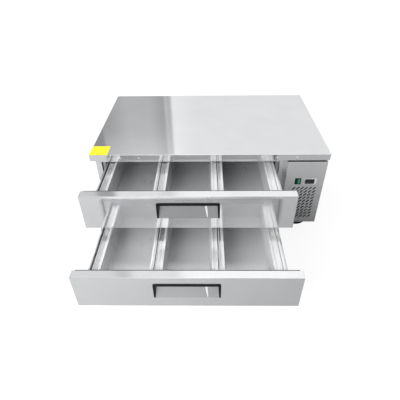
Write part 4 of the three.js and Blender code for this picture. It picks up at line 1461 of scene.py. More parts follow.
    def tray(self, word: str, low: Vector, high: Vector) -> None:
        """Draws a tray out of thin sheet, with a beaded rim that carries a painted highlight.

        Args:
            word: left, middle or right.
            low: the tray's least corner.
            high: its greatest corner.
        """
        outer = Rect.of(low, high, Axis.Z)
        sheet, taper, fillet, bead = self.tray_sheet, self.tray_taper, self.tray_fillet, self.bead_width
        lower, crown, roll = self.top + self.clearance, high.z + self.bead, bead * 0.45
        flat = taper + 1.2 * fillet
        inside = rounded([
            (flat, low.z + sheet, 0), (taper, low.z + sheet, fillet), (0, crown, roll), (-bead, crown, roll),
            (-bead, lower + 1.2 * sheet, 0.4 * MM), (-self.tray_rim, lower + 1.2 * sheet, 0)], closed=False)
        outside = rounded([(-self.tray_rim, lower, 0), (-sheet, lower, 2 * MM),
                           (taper - sheet, low.z, fillet), (flat, low.z, 0)], closed=False)
        draft = Draft()
        draft.loft(self.rings(outer, inside + outside), Axis.Z)
        # The lower drawer's trays take the paler copy of the same steel: painted light.
        finish = Finish.TRAY if self.level == "upper" else Finish.LOWER_TRAY
        self.keep(draft.finish(self.node(f"pan_{word}"), Axis.Y), finish, self.node(f"tray_{word}"))

        # A thin skin over the rim's bead in the paler, more matt rail finish: a painted highlight on the tray's
        # own sheet.
        over = self.rim_skin
        rim = Draft()
        rim.loft(self.rings(outer, rounded([
            (over, crown - 2 * self.bead, 0), (over, crown + over, roll), (-bead - over, crown + over, roll),
            (-bead - over, lower + 2 * sheet, 0), (-bead + 2 * sheet, lower + 2 * sheet, 0)])),
            Axis.Z, closed=True)
        self.keep(rim.finish(self.node(f"pan_rim_{word}"), Axis.Y), Finish.RAIL)

    def rings(self, outer: Rect, profile: Sequence[Flat]) -> list[Step]:
        """Returns a tray's outlines for a loft, its rim narrower at the front.

        Args:
            outer: the tray's box, seen from above.
            profile: pairs of inset from the rim's inner edge and height.

        Returns:
            The outline of each pair.
        """
        steps = []
        for inset, z in profile:
            rect = outer.shrunk(self.tray_rim + inset)
            forward = (self.tray_rim - self.tray_front_rim) * min(1.0, 1 + inset / self.tray_rim)
            steps.append((Rect(rect.u0, rect.u1, rect.v0 - forward, rect.v1), self.tray_corner - inset, z))
        return steps


@dataclass
class MachineCover(SubAssembly):
    """The slotted front cover of the machine compartment."""

    sheet: float = 1.2 * MM
    bend: float = 2 * MM
    slot_length: float = 24.5 * MM
    slot_width: float = 7.6 * MM
    slot_inset: float = 55.5 * MM
    slot_drop: float = 178 * MM
    columns: tuple[float, int] = (23.8 * MM, 6)
    rows: tuple[float, int] = (23.1 * MM, 10)
    slot_slope: float = math.pi / 4
    control_lap: float = 3 * MM

    def build(self) -> None:
        """Makes and dresses the cover."""
        low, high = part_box("machine_cover")
        sheet, bend = self.sheet, self.bend
        profile = rounded([
            (2 * bend, low.y + sheet, 0), (sheet, low.y + sheet, bend - sheet), (sheet, high.y, 0),
            (0, high.y, 0), (0, low.y, bend), (2 * bend, low.y, 0)], closed=False)
        draft = Draft()
        draft.pan(Rect.of(low, high, Axis.Y), profile, bend, Axis.Y)
        first = Vector((low.x + self.slot_inset, low.y, high.z - self.slot_drop))
        cover = perforated(draft.finish("slotted_cover"), self.slot().finish("slot"), first,
                           (Vector((self.columns[0], 0, 0)), self.columns[1]),
                           (Vector((0, 0, -self.rows[0])), self.rows[1]),
                           self.finishes.material(Finish.SHEET),
                           windows=self.windows(low, high).finish("windows"))
        self.keep(cover, Finish.SHEET, "machine_cover")

    def slot(self) -> Draft:
        """Drafts one slanting slot.

        Returns:
            The draft, at the origin.
        """
        capsule = Rect.about(0, 0, self.slot_length, self.slot_width).loop(self.slot_width / 2, 4)
        cosine, sine = math.cos(self.slot_slope), math.sin(self.slot_slope)
        slanting = [(u * cosine - v * sine, u * sine + v * cosine) for u, v in capsule]
        slot = Draft()
        slot.draw(slanting, Axis.Y, -4 * self.sheet, 4 * self.sheet)
        return slot

    def windows(self, low: Vector, high: Vector) -> Draft:
        """Drafts the openings for the controls and the one in the cover's top.

        Args:
            low: the cover's least corner.
            high: its greatest corner.

        Returns:
            The draft.
        """
        reach, inset = 4 * self.sheet, 3 * self.bend
        windows = Draft()
        for node in ("switch_bezel", "thermostat_case"):
            rect = Rect.of(*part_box(node), Axis.Y).shrunk(self.control_lap)
            windows.draw(rect.loop(self.sheet), Axis.Y, low.y - reach, low.y + reach)
        windows.block(Vector((low.x + inset, low.y + inset, high.z - reach)),
                      Vector((high.x - inset, high.y + self.sheet, high.z + reach)))
        return windows


@dataclass
class RearCovers(SubAssembly):
    """The louvred rear cover and the mains inlet."""

    margin: float = 32 * MM
    louvre: float = 6 * MM
    pitch: float = 18 * MM
    count: int = 12
    rise: float = 160 * MM
    hood: float = 4 * MM
    hood_sheet: float = 1 * MM
    socket: tuple[float, float] = (24 * MM, 16 * MM)
    socket_depth: float = 16 * MM
    flange: float = 6 * MM
    flange_thickness: float = 2 * MM
    pin: tuple[float, float, float] = (2 * MM, 12 * MM, 4.5 * MM)
    pin_places: Sequence[Flat] = ((-7 * MM, -2 * MM), (0.0, 2 * MM), (7 * MM, -2 * MM))
    small: float = 1 * MM

    def build(self) -> None:
        """Makes and dresses every piece."""
        self.grille()
        self.inlet()

    def grille(self) -> None:
        """Cuts the louvres and bends a hood out over each."""
        low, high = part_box("rear_grille")
        sheet = high.y - low.y
        base, cutter, windows = Draft(), Draft(), Draft()
        base.block(low, high, 0.3 * MM)
        half = (high.x - low.x) / 2 - self.margin
        cutter.block(Vector((-half, -4 * sheet, 0)), Vector((half, 4 * sheet, self.louvre)), self.small)
        mouth = Rect.of(*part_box("power_inlet"), Axis.Y).shrunk(self.flange - self.small)
        windows.draw(mouth.loop(self.small), Axis.Y, low.y - sheet, high.y + sheet)
        first = Vector(((low.x + high.x) / 2, (low.y + high.y) / 2, low.z + self.rise))
        step = Vector((0, 0, self.pitch))
        grille = perforated(base.finish("rear_cover"), cutter.finish("louvre"), first, (Axis.X.unit, 1),
                            (step, self.count), self.finishes.material(Finish.SHEET),
                            windows=windows.finish("inlet_window"))
        self.keep(grille, Finish.SHEET, "rear_grille")
        hood = Draft()
        line = [(0, self.louvre + self.small, 0), (self.hood * 0.7, self.louvre * 0.8, 2 * self.small),
                (self.hood, 0, 0)]
        hood.draw(folded(line, self.hood_sheet), Axis.X, -half, half)
        first.y = high.y
        self.lay_rows("rear_louvre_hoods", hood.finish("hood"), [(first, step, self.count)], Finish.SHEET)

    def inlet(self) -> None:
        """Makes the three-pin mains inlet."""
        low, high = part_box("power_inlet")
        flange = Rect.of(low, high, Axis.Y)
        barrel = flange.shrunk(self.flange)
        u, v = (low.x + high.x) / 2, (low.z + high.z) / 2
        mouth = Rect.about(u, v, *self.socket)
        under, floor = high.y - self.flange_thickness, high.y - self.socket_depth
        draft = Draft()
        draft.loft([(barrel, 2 * MM, low.y), (barrel, 2 * MM, under), (flange, 4 * MM, under),
                    (flange, 4 * MM, high.y - 0.6 * MM), (flange.shrunk(0.6 * MM), 3.4 * MM, high.y),
                    (mouth, 3 * MM, high.y), (mouth, 3 * MM, floor)], Axis.Y)
        width, length, height = self.pin
        for offset, rise in self.pin_places:
            corner = Vector((u + offset - width / 2, floor, v + rise - height / 2))
            draft.block(corner, corner + Vector((width, length, height)), 0.4 * MM)
        self.keep(draft.finish("mains_inlet"), Finish.BLACK, "power_inlet")


@dataclass
class Controls(SubAssembly):
    """The rocker switch and the digital thermostat."""

    rocker_width: float = 21 * MM
    rocker_height: float = 30 * MM
    well: float = 1.2 * MM
    well_depth: float = 14 * MM
    pivot: float = 4 * MM
    proud: float = 3 * MM
    valley: float = 1.2 * MM
    tilt: float = math.pi / 18
    window: tuple[float, float] = (53 * MM, 32 * MM)
    window_shift: float = -2 * MM
    window_depth: float = 1.2 * MM
    key: tuple[float, float] = (4.2 * MM, 7 * MM)
    key_reach: float = 7 * MM
    digit: tuple[float, float] = (8.5 * MM, 15 * MM)
    digit_line: float = 1.5 * MM
    digits: int = 3

    def build(self) -> None:
        """Makes and dresses every piece."""
        self.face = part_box("machine_cover")[0].y
        self.switch()
        self.thermostat()

    def framed(self, node: str, mouth: Rect, floor: float, corner: float) -> Draft:
        """Drafts a flanged housing with a well in its face.

        Args:
            node: the frame's node, whose box is the flange's outline and the housing's depth.
            mouth: the outline of the well.
            floor: where the well ends.
            corner: the flange's corner radius.

        Returns:
            The draft.
        """
        low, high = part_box(node)
        flange = Rect.of(low, high, Axis.Y)
        barrel = flange.shrunk(self.proud)
        edge, small, seat = 0.7 * MM, 1 * MM, self.face - 0.2 * MM
        draft = Draft()
        draft.loft([(barrel, small, high.y), (barrel, small, seat), (flange, corner, seat),
                    (flange, corner, low.y + edge), (flange.shrunk(edge * 0.3), corner, low.y + edge * 0.3),
                    (flange.shrunk(edge), corner, low.y), (mouth.shrunk(-edge), small, low.y),
                    (mouth, small, low.y + edge), (mouth, small, floor)], Axis.Y)
        return draft

    def switch(self) -> None:
        """Makes the bezel and the rocker in it."""
        low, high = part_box("switch_bezel")
        x, z = (low.x + high.x) / 2, (low.z + high.z) / 2
        mouth = Rect.about(x, z, self.rocker_width, self.rocker_height).shrunk(-self.well)
        bezel = self.framed("switch_bezel", mouth, self.face + self.well_depth, 3 * MM)
        self.keep(bezel.finish("switch_surround"), Finish.BLACK, "switch_bezel")
        half = self.rocker_height / 2
        outline = rounded([
            (-self.proud, half, 1.2 * MM), (-self.valley, 0, 26 * MM), (-self.proud, -half, 1.2 * MM),
            (self.pivot, -half, 1 * MM), (1.7 * self.pivot, 0, 0), (self.pivot, half, 1 * MM)])
        rocker = Draft()
        rocker.draw([(u - self.pivot, v) for u, v in outline], Axis.X, -self.rocker_width / 2,
                    self.rocker_width / 2)
        rocker.moved(Matrix.Translation((x, self.face + self.pivot, z)) @ Matrix.Rotation(self.tilt, 4, "X"))
        self.keep(rocker.finish("rocker_key", bevel=0.6 * MM), Finish.GREEN, "switch_rocker", body="switch")

    def thermostat(self) -> None:
        """Makes the bezel, the dark window, its unlit digits and two keys."""
        low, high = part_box("thermostat_case")
        x, z = (low.x + high.x) / 2 + self.window_shift, (low.z + high.z) / 2
        mouth = Rect.about(x, z, *self.window)
        floor = low.y + self.window_depth
        bezel = self.framed("thermostat_case", mouth, floor + self.window_depth, 2.5 * MM)
        self.keep(bezel.finish("thermostat_bezel"), Finish.BEZEL, "thermostat_case")
        pane = Draft()
        pane.pan(mouth.shrunk(0.05 * MM), [(0, floor + self.window_depth), (0, floor + 0.4 * MM),
                                           (0.4 * MM, floor)], 1 * MM, Axis.Y)
        self.keep(pane.finish("thermostat_window"), Finish.WINDOW)
        keys = Draft()
        for side in (-1, 1):
            rect = Rect.about((low.x + mouth.u0) / 2, z + side * self.key_reach, *self.key)
            keys.pan(rect, [(0, low.y + 0.2 * MM), (0, low.y - 0.4 * MM), (0.5 * MM, low.y - 0.7 * MM)],
                     1.5 * MM, Axis.Y)
        self.keep(keys.finish("thermostat_keys"), Finish.SEAL)
        self.numerals(x, floor, z)

    def numerals(self, x: float, y: float, z: float) -> None:
        """Lays the unlit seven-segment digits on the window.

        Args:
            x: the middle of the digits.
            y: the window's face.
            z: the middle of the digits.
        """
        width, line, half = self.digit[0], self.digit_line, self.digit[1] / 2
        segment = Draft()
        bars = [(0, half, True), (0, 0, True), (0, -half, True)]
        bars += [(side * width / 2, rise * half / 2, False) for side in (-1, 1) for rise in (-1, 1)]
        for u, v, level in bars:
            size = (width - line * 1.2, line) if level else (line, half - line * 1.2)
            segment.pan(Rect.about(u, v, *size), [(0, 0), (0.2 * line, -0.08 * MM)], 0.2 * line, Axis.Y)
        pitch = 1.7 * width
        first = Vector((x - pitch * (self.digits - 1) / 2, y, z))
        self.lay_rows("thermostat_digits", segment.finish("digit"),
                      [(first, Vector((pitch, 0, 0)), self.digits)], Finish.SEGMENT)


@dataclass
class Refrigeration(SubAssembly):
    """The compressor, the condenser and the evaporator with their fans, and the lines."""

    shell: float = 75 * MM
    shell_base: float = 26 * MM
    seam: float = 5 * MM
    seam_rise: float = 120 * MM
    plate_rise: float = 10 * MM
    plate: float = 3 * MM
    plate_corner: float = 18 * MM
    fin_pitch: float = 5 * MM
    fin: float = 0.6 * MM
    tube: float = 4.8 * MM
    tube_rows: int = 6
    hood_sheet: float = 2 * MM
    hood_depth: float = 46 * MM
    shroud_lip: float = 6 * MM
    motor: float = 32 * MM
    bracket: float = 12 * MM
    blades: int = 4
    blade_steps: int = 6
    blade_sheet: float = 1.2 * MM
    bend: float = 22 * MM

    def build(self) -> None:
        """Makes and dresses every piece."""
        self.compressor()
        self.exchanger("condenser_coil", "condenser_block", Finish.ENAMEL)
        self.exchanger("evaporator", "evaporator_block", Finish.ALLOY)
        self.fan_mount()
        self.fan("condenser_fan")
        self.fan("evaporator_fan")
        self.lines()

    def compressor(self) -> None:
        """Turns the welded shell and sets it on its foot plate with rubber grommets."""
        low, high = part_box("compressor")
        centre = Vector(((low.x + high.x) / 2, (low.y + high.y) / 2, 0))
        width, radius, lip = high.x - low.x, self.shell, self.shell + self.seam
        base, seam, plate = low.z + self.shell_base, low.z + self.seam_rise, low.z + self.plate_rise
        shell = rounded([
            (radius * 0.3, base - 6 * MM, 0), (radius * 0.8, base - 6 * MM, 12 * MM),
            (radius, base + 12 * MM, 20 * MM), (radius, seam, 0), (lip, seam, 1 * MM),
            (lip, seam + 6 * MM, 1 * MM), (radius, seam + 6 * MM, 0), (radius, high.z - 30 * MM, 20 * MM),
            (radius * 0.75, high.z, 30 * MM), (radius * 0.2, high.z, 0)], closed=False, steps=6)
        draft = Draft()
        draft.turn(shell, centre, Axis.Z)
        draft.pan(Rect.about(centre.x, centre.y, width, width), [(0, plate), (0, plate + self.plate)],
                  self.plate_corner, Axis.Z)
        draft.turn([(radius * 0.45, plate + 2 * MM), (radius * 0.45, base)], centre, Axis.Z)
        draft.block(centre + Vector((-radius - 22 * MM, -26 * MM, base + 20 * MM)),
                    centre + Vector((-radius + 8 * MM, 26 * MM, base + 78 * MM)), 4 * MM)
        self.keep(draft.finish("compressor_shell"), Finish.ENAMEL, "compressor")
        grommet = Draft()
        grommet.turn([(9 * MM, 0), (11 * MM, 4 * MM), (8 * MM, 8 * MM), (8 * MM, 12 * MM), (11 * MM, 15 * MM),
                      (7 * MM, 18 * MM)], ORIGIN, Axis.Z, 20)
        reach = width / 2 - self.plate_corner
        rows = [(centre + Vector((x, -reach, low.z)), Vector((0, 2 * reach, 0)), 2) for x in (-reach, reach)]
        self.lay_rows("compressor_grommets", grommet.finish("grommet"), rows, Finish.TYRE)

    def exchanger(self, node: str, name: str, finish: Finish) -> None:
        """Makes a finned block: rows of tubes through stacked fins.

        Args:
            node: the frame's node.
            name: the start of the pieces' names.
            finish: of the fins.
        """
        low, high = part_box(node)
        size, tube = high - low, self.tube
        sheet = Draft()
        inset = 2.2 * tube
        sheet.block(ORIGIN, Vector((self.fin, size.y, size.z)), 0.1 * MM)
        count = int((size.x - 2 * inset) / self.fin_pitch)
        row = (low + Vector((inset, 0, 0)), Vector((self.fin_pitch, 0, 0)), count)
        self.lay_rows(f"{name}_fins", sheet.finish("fin"), [row], finish, node, grain=Axis.Z)
        run = Draft()
        for index in range(self.tube_rows):
            z = low.z + size.z / self.tube_rows * (index + 0.5)
            for share in (0.3, 0.7):
                run.turn([(tube, low.x + tube * 1.2), (tube, high.x - tube * 1.2)],
                         Vector((0, low.y + size.y * share, z)), Axis.X, 12)
        self.keep(run.finish(f"{name}_tubes"), Finish.ENAMEL if finish is Finish.ENAMEL else Finish.COPPER)

    def fan_mount(self) -> None:
        """Makes the fan's hood, with a rolled lip round its opening, and the motor."""
        low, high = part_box("condenser_fan_mount")
        fan_low, fan_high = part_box("condenser_fan")
        centre = (fan_low + fan_high) / 2
        back, sheet, motor = high.y - self.hood_depth, self.hood_sheet, self.motor
        rect = Rect.of(low, high, Axis.Y)
        outside, inside = rect.loop(3 * MM), rect.shrunk(sheet).loop(2 * MM)
        ring = circle(centre.x, centre.z, (fan_high.x - fan_low.x) / 2 + 6 * MM, len(outside), 0.5)
        draft = Draft()
        draft.skin([[Axis.Y.point(u, v, y) for u, v in outline] for outline, y in (
            (outside, low.y), (outside, back), (ring, back), (ring, back - self.shroud_lip),
            (ring, back - self.shroud_lip), (inside, back - sheet), (inside, low.y))], closed=True)
        draft.turn([(motor * 0.5, back - 4 * MM), (motor, back + 2 * MM), (motor, high.y - 8 * MM),
                    (motor * 0.8, high.y)], Vector((centre.x, 0, centre.z)), Axis.Y, 32)
        draft.block(Vector((low.x + sheet, back - 3 * MM, centre.z - self.bracket / 2)),
                    Vector((high.x - sheet, back, centre.z + self.bracket / 2)), 1 * MM)
        self.keep(draft.finish("fan_hood"), Finish.ZINC, "condenser_fan_mount")

    def fan(self, node: str) -> None:
        """Makes a hub with twisted blades.

        Args:
            node: the frame's node.
        """
        low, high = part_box(node)
        centre = (low + high) / 2
        radius, depth = (high.x - low.x) / 2, high.y - low.y
        hub = radius * 0.28
        draft = Draft()
        draft.turn([(hub * 0.3, -depth / 2), (hub * 0.9, -depth / 2), (hub, -depth * 0.35), (hub, depth / 2)],
                   centre, Axis.Y, 32)
        for blade in range(self.blades):
            sections = []
            for step in range(self.blade_steps + 1):
                share = step / self.blade_steps
                reach = hub * 0.9 + (radius - hub * 0.9) * share
                spread = (0.52 + 0.18 * math.sin(share * math.pi)) * math.tau / self.blades
                middle = math.tau * blade / self.blades + 0.25 * share
                pitch = depth * (0.42 - 0.08 * share)
                ring = []
                for side, along in ((-1, 1), (-0.33, 0.33), (0.33, -0.33), (1, -1)):
                    angle = middle + side * spread / 2
                    ring.append(centre + Axis.Y.point(reach * math.cos(angle), reach * math.sin(angle),
                                                      along * pitch))
                under = [point + Vector((0, self.blade_sheet, 0)) for point in reversed(ring)]
                sections.append(ring + under)
            draft.skin(sections)
        body = "condenser_fan" if node.startswith("condenser") else "evaporator_fan"
        self.keep(draft.finish(f"{node}_wheel"), Finish.ALLOY, node, body=body)

    def lines(self) -> None:
        """Bends the copper lines."""
        low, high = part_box("suction_line")
        suction = Draft()
        middle = (low + high) / 2
        suction.tube([Vector((x, middle.y, middle.z)) for x in (low.x, high.x)], (high.z - low.z) / 2, 20)
        self.keep(suction.finish("suction_pipe"), Finish.COPPER, "suction_line")
        low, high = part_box("discharge_line")
        radius = (high.x - low.x) / 2
        bends = rounded([(high.y - radius, low.z, 0), (high.y - radius, high.z - radius, self.bend),
                         (low.y + radius, high.z - radius, self.bend),
                         (low.y + radius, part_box("condenser_coil")[1].z, 0)], closed=False, steps=8)
        discharge = Draft()
        discharge.tube([Vector((low.x + radius, y, z)) for y, z in bends], radius * 0.98)
        self.keep(discharge.finish("discharge_pipe"), Finish.COPPER, "discharge_line")


@dataclass
class Caster(SubAssembly):
    """A swivel caster.

    Attributes:
        corner: such as front_left, as in the names of the frame's nodes.
    """

    corner: str = "front_left"
    plate: float = 4 * MM
    head: float = 28 * MM
    bolt_inset: float = 13 * MM
    bolt_radius: float = 6 * MM
    bolt_head: float = 4 * MM
    fork_sheet: float = 3 * MM
    crown: float = 25 * MM
    foot: float = 14 * MM
    hub: float = 20 * MM
    axle: float = 5 * MM
    axle_nut: float = 9 * MM
    nut_height: float = 5 * MM

    def build(self) -> None:
        """Makes and dresses every piece."""
        self.top_plate()
        self.fork()
        self.wheel()

    def top_plate(self) -> None:
        """Makes the plate, its four bolts and the swivel head."""
        node = f"{self.corner}_caster_plate"
        low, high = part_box(node)
        centre = Vector(((low.x + high.x) / 2, (low.y + high.y) / 2, 0))
        under, edge = high.z - self.plate, 0.6 * MM
        draft = Draft()
        profile = [(edge, under), (0, under + edge), (0, high.z - edge), (edge, high.z)]
        draft.pan(Rect.of(low, high, Axis.Z), profile, 8 * MM, Axis.Z)
        head = self.head
        race = rounded([
            (head * 0.3, low.z, 0), (head * 0.94, low.z, 1.5 * MM), (head, low.z + 3 * MM, 1.5 * MM),
            (head * 0.86, (low.z + under) / 2, 2 * MM), (head, under - 3 * MM, 1.5 * MM),
            (head, under + 0.5 * MM, 0)], closed=False)
        draft.turn(race, centre, Axis.Z)
        self.keep(draft.finish(f"{node}_with_race"), Finish.ZINC, node)
        bolt = Draft()
        bolt.draw(circle(0, 0, self.bolt_radius, 6), Axis.Z, -self.bolt_head, 0)
        reach = (high.x - low.x) / 2 - self.bolt_inset
        rows = [(centre + Vector((x, -reach, under)), Vector((0, 2 * reach, 0)), 2) for x in (-reach, reach)]
        self.lay_rows(f"{node}_bolts", bolt.finish("bolt", bevel=0.5 * MM), rows, Finish.ZINC)

    def fork(self) -> None:
        """Presses the fork out of one strip and puts the axle bolt through it."""
        node = f"{self.corner}_caster_fork"
        low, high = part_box(node)
        wheel_low, wheel_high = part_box(f"{self.corner}_caster_wheel")
        plate_low, plate_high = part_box(f"{self.corner}_caster_plate")
        stem = (plate_low.x + plate_high.x) / 2
        axle = (wheel_low + wheel_high) / 2
        crown, foot, sheet, top = self.crown, self.foot, self.fork_sheet, high.z
        near, far = low.y + self.nut_height, high.y - self.nut_height
        leg = rounded([(stem - crown, top, 4 * MM), (stem - crown, top - 14 * MM, 10 * MM),
                       (axle.x - foot, axle.z, 8 * MM), (axle.x - foot, axle.z - foot, foot * 0.9),
                       (axle.x + foot, axle.z - foot, foot * 0.9), (axle.x + foot, axle.z, 8 * MM),
                       (stem + crown, top - 14 * MM, 10 * MM), (stem + crown, top, 4 * MM)])
        draft = Draft()
        draft.draw(leg, Axis.Y, near, near + sheet)
        draft.draw(leg, Axis.Y, far - sheet, far)
        draft.draw(folded([(near, top - 9 * MM, 0), (near, top - sheet / 2, 4 * MM),
                           (far, top - sheet / 2, 4 * MM), (far, top - 9 * MM, 0)], sheet),
                   Axis.X, stem - crown, stem + crown)
        hexagon = circle(axle.x, axle.z, self.axle_nut, 6)
        draft.draw(hexagon, Axis.Y, low.y, near)
        draft.draw(hexagon, Axis.Y, far, high.y)
        draft.turn([(self.axle, low.y), (self.axle, high.y)], Vector((axle.x, 0, axle.z)), Axis.Y, 24)
        self.keep(draft.finish(f"{node}_pressing", bevel=0.5 * MM), Finish.ZINC, node,
                  body=f"{self.corner}_fork")

    def wheel(self) -> None:
        """Turns the tyre on its hub, with a bearing cap on each side."""
        node = f"{self.corner}_caster_wheel"
        low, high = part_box(node)
        centre = (low + high) / 2
        radius, half = (high.z - low.z) / 2, (high.y - low.y) / 2
        rim = radius * 0.74
        tyre = Draft()
        tread = [(rim, -half * 0.8, 0), (radius - 3 * MM, -half, 3 * MM), (radius, -half * 0.6, 6 * MM)]
        tyre.turn(rounded(mirrored(tread)), centre, Axis.Y, 72, closed=True)
        body = f"{self.corner}_wheel"
        self.keep(tyre.finish(f"{self.corner}_tyre"), Finish.TYRE, node, body=body)
        hub = Draft()
        web = [(self.axle + 0.4 * MM, -half, 0), (self.hub, -half, 1.5 * MM),
               (self.hub + 2 * MM, -half * 0.35, 2 * MM), (rim - 4 * MM, -half * 0.3, 2 * MM),
               (rim - 1 * MM, -half * 0.85, 1 * MM), (rim + 0.5 * MM, -half * 0.78, 0)]
        hub.turn(rounded(mirrored(web)), centre, Axis.Y, 48, closed=True)
        self.keep(hub.finish(f"{self.corner}_hub"), Finish.HUB, body=body)


@dataclass(frozen=True)
class Backdrop:
    """An upright stretch of the studio, as the steel mirrors it.

    Attributes:
        start: the bearing where it starts, in degrees from +Y towards +X.
        glow: its brightness at rising heights, in degrees above the horizon.
        blur: how far its start is blurred to each side, in degrees.
    """

    start: float
    glow: tuple[Flat, ...]
    blur: float = 0.15


@dataclass
class Studio:
    """The camera, the floor and the soft light.

    The steel is bright or dark by what stands round it, so the room is given by its stretches: pale
    walls with one straight edge behind the object, and greyer ones behind the camera.
    """

    image: int = 400
    focal: float = 360.627
    eye: tuple[float, float, float] = (-16.67 * MM, -1808.27 * MM, 1650.55 * MM)
    yaw: float = math.radians(-1.29956)
    pitch: float = math.radians(-37.86047)
    roll: float = math.radians(-0.92268)
    sensor: float = 36.0
    floor_reach: float = 30.0
    floor_tone: str = "#e8e8e8"
    lamp_place: tuple[float, float, float] = (-1.8, -2.9, 1.75)
    lamp_aim: tuple[float, float, float] = (-0.2, -0.2, 0.3)
    lamp_side: float = 2.0
    lamp_power: float = 110.0
    fills: tuple[Flat, ...] = ((-1.0, 2.0), (0.2, 0.3))
    fill_rise: tuple[float, float] = (1.05, 1.15)
    camera_white: float = 1.12
    floor_lit_seen: float = 0.2
    floor_lit_mirrored: float = 0.25
    # Painted light and shade in the floor's glow, seen only in reflections: a pool of light to the left, the
    # cabinet's painted shadow in front of it, and painted light far behind and to the right.
    painted_floor_pool: tuple[Flat, ...] = ((-0.7, 0.29), (0.7, 0.17))
    painted_floor_shadow: tuple[Flat, ...] = ((-0.85, 1.35), (-0.3, 0.22))
    painted_light_far_behind: tuple[Flat, ...] = ((0.75, 0.0), (2.4, 0.5))
    painted_light_far_right: tuple[Flat, ...] = ((0.85, 0.0), (2.4, 0.42))
    backdrops: tuple[Backdrop, ...] = (
        Backdrop(-180.0, ((0, 0.25), (16, 0.3), (30, 0.6), (38, 1.6), (60, 1.8))),
        Backdrop(-170.0, ((0, 0.25), (16, 0.3), (30, 0.8), (37, 2.0), (60, 2.2)), 1.5),
        Backdrop(-160.0, ((0, 0.25), (16, 0.3), (30, 0.3), (38, 0.5), (60, 0.6)), 1.0),
        Backdrop(-145.0, ((0, 0.25), (16, 0.3), (30, 0.38), (60, 0.8)), 2.0),
        Backdrop(-100.0, ((0, 0.4), (20, 0.55), (45, 0.75), (90, 1.0)), 2.0),
        Backdrop(-21.0, ((0, 0.2), (30, 0.2), (40, 0.35), (60, 0.9))),
        Backdrop(-17.6, ((0, 0.28), (26, 0.33), (37, 1.0), (50, 0.9), (90, 1.1))),
        Backdrop(-14.9, ((0, 0.41), (26, 0.49), (37, 0.92), (50, 0.9), (90, 1.1)), 1.6),
        Backdrop(-8.3, ((0, 0.28), (26, 0.34), (37, 0.75), (50, 0.83), (90, 1.1)), 1.3),
        Backdrop(-6.95, ((0, 0.52), (26, 0.62), (37, 0.9), (50, 1.0), (90, 1.2))),
        Backdrop(-6.65, ((0, 0.41), (26, 0.49), (37, 0.9), (50, 1.0), (90, 1.2))),
        Backdrop(-5.86, ((0, 0.88), (26, 1.02), (37, 1.12), (50, 1.16), (90, 1.4))),
        Backdrop(-3.8, ((0, 0.75), (22, 0.9), (31, 0.92), (37, 1.12), (50, 1.2), (90, 1.4)), 2.0),
        Backdrop(70.0, ((0, 0.5), (20, 0.65), (45, 0.8), (90, 1.0)), 2.0),
        Backdrop(120.0, ((0, 0.2), (16, 0.22), (30, 0.38), (60, 0.8)), 2.0),
        Backdrop(150.0, ((0, 0.2), (16, 0.32), (30, 0.6), (40, 1.7), (60, 1.8)), 2.0),
        Backdrop(165.5, ((0, 0.2), (16, 0.32), (30, 0.35), (42, 0.65), (60, 1.0)), 2.0),
        Backdrop(173.5, ((0, 0.2), (16, 0.32), (30, 0.5), (40, 1.2), (60, 1.6)), 2.0),
    )

    def build(self) -> None:
        """Sets up everything around the object."""
        scene = bpy.context.scene
        scene.view_settings.view_transform = "Standard"
        self.camera()
        self.floor()
        self.lamp()
        self.world()
        LOG.info("studio: camera, floor, one soft lamp and %d stretches of backdrop", len(self.backdrops))

    def camera(self) -> None:
        """Puts the camera where the photograph was taken from."""
        lens = bpy.data.cameras.new("camera")
        lens.sensor_width = self.sensor
        lens.lens = self.focal / self.image * self.sensor
        lens.clip_end = 2 * self.floor_reach
        camera = put("camera", lens)
        flat = math.cos(self.pitch)
        forward = Vector((math.sin(self.yaw) * flat, math.cos(self.yaw) * flat, math.sin(self.pitch)))
        level = Vector((math.cos(self.yaw), -math.sin(self.yaw), 0))
        upright = level.cross(forward)
        right = level * math.cos(self.roll) + upright * math.sin(self.roll)
        up = upright * math.cos(self.roll) - level * math.sin(self.roll)
        turn = Matrix((right, up, -forward)).transposed().to_4x4()
        camera.matrix_world = Matrix.Translation(self.eye) @ turn
        bpy.context.scene.camera = camera

    def floor(self) -> None:
        """Lays the pale floor, which shows white to the camera but keeps the shadow."""
        reach = self.floor_reach
        data = bpy.data.meshes.new("floor")
        corners = [(-reach, -reach, 0), (reach, -reach, 0), (reach, reach, 0), (-reach, reach, 0)]
        data.from_pydata(corners, [], [(0, 1, 2, 3)])
        data.materials.append(self.floor_paint())
        put("floor", data)

    def floor_paint(self) -> Paint:
        """Makes the floor's paint, whose glow carries painted light and shade for the steel to mirror: brighter
        to the left, behind and to the right, with a painted shadow in front of the cabinet.

        Returns:
            The material.
        """
        material = bpy.data.materials.new("painted_studio_floor")
        material.use_nodes = True
        tree = material.node_tree
        tree.nodes.remove(tree.nodes["Principled BSDF"])
        path = add_node(tree, "ShaderNodeLightPath")
        place = add_node(tree, "ShaderNodeTexCoord")
        across = add_node(tree, "ShaderNodeSeparateXYZ", None, {"Vector": place.outputs["Object"]})
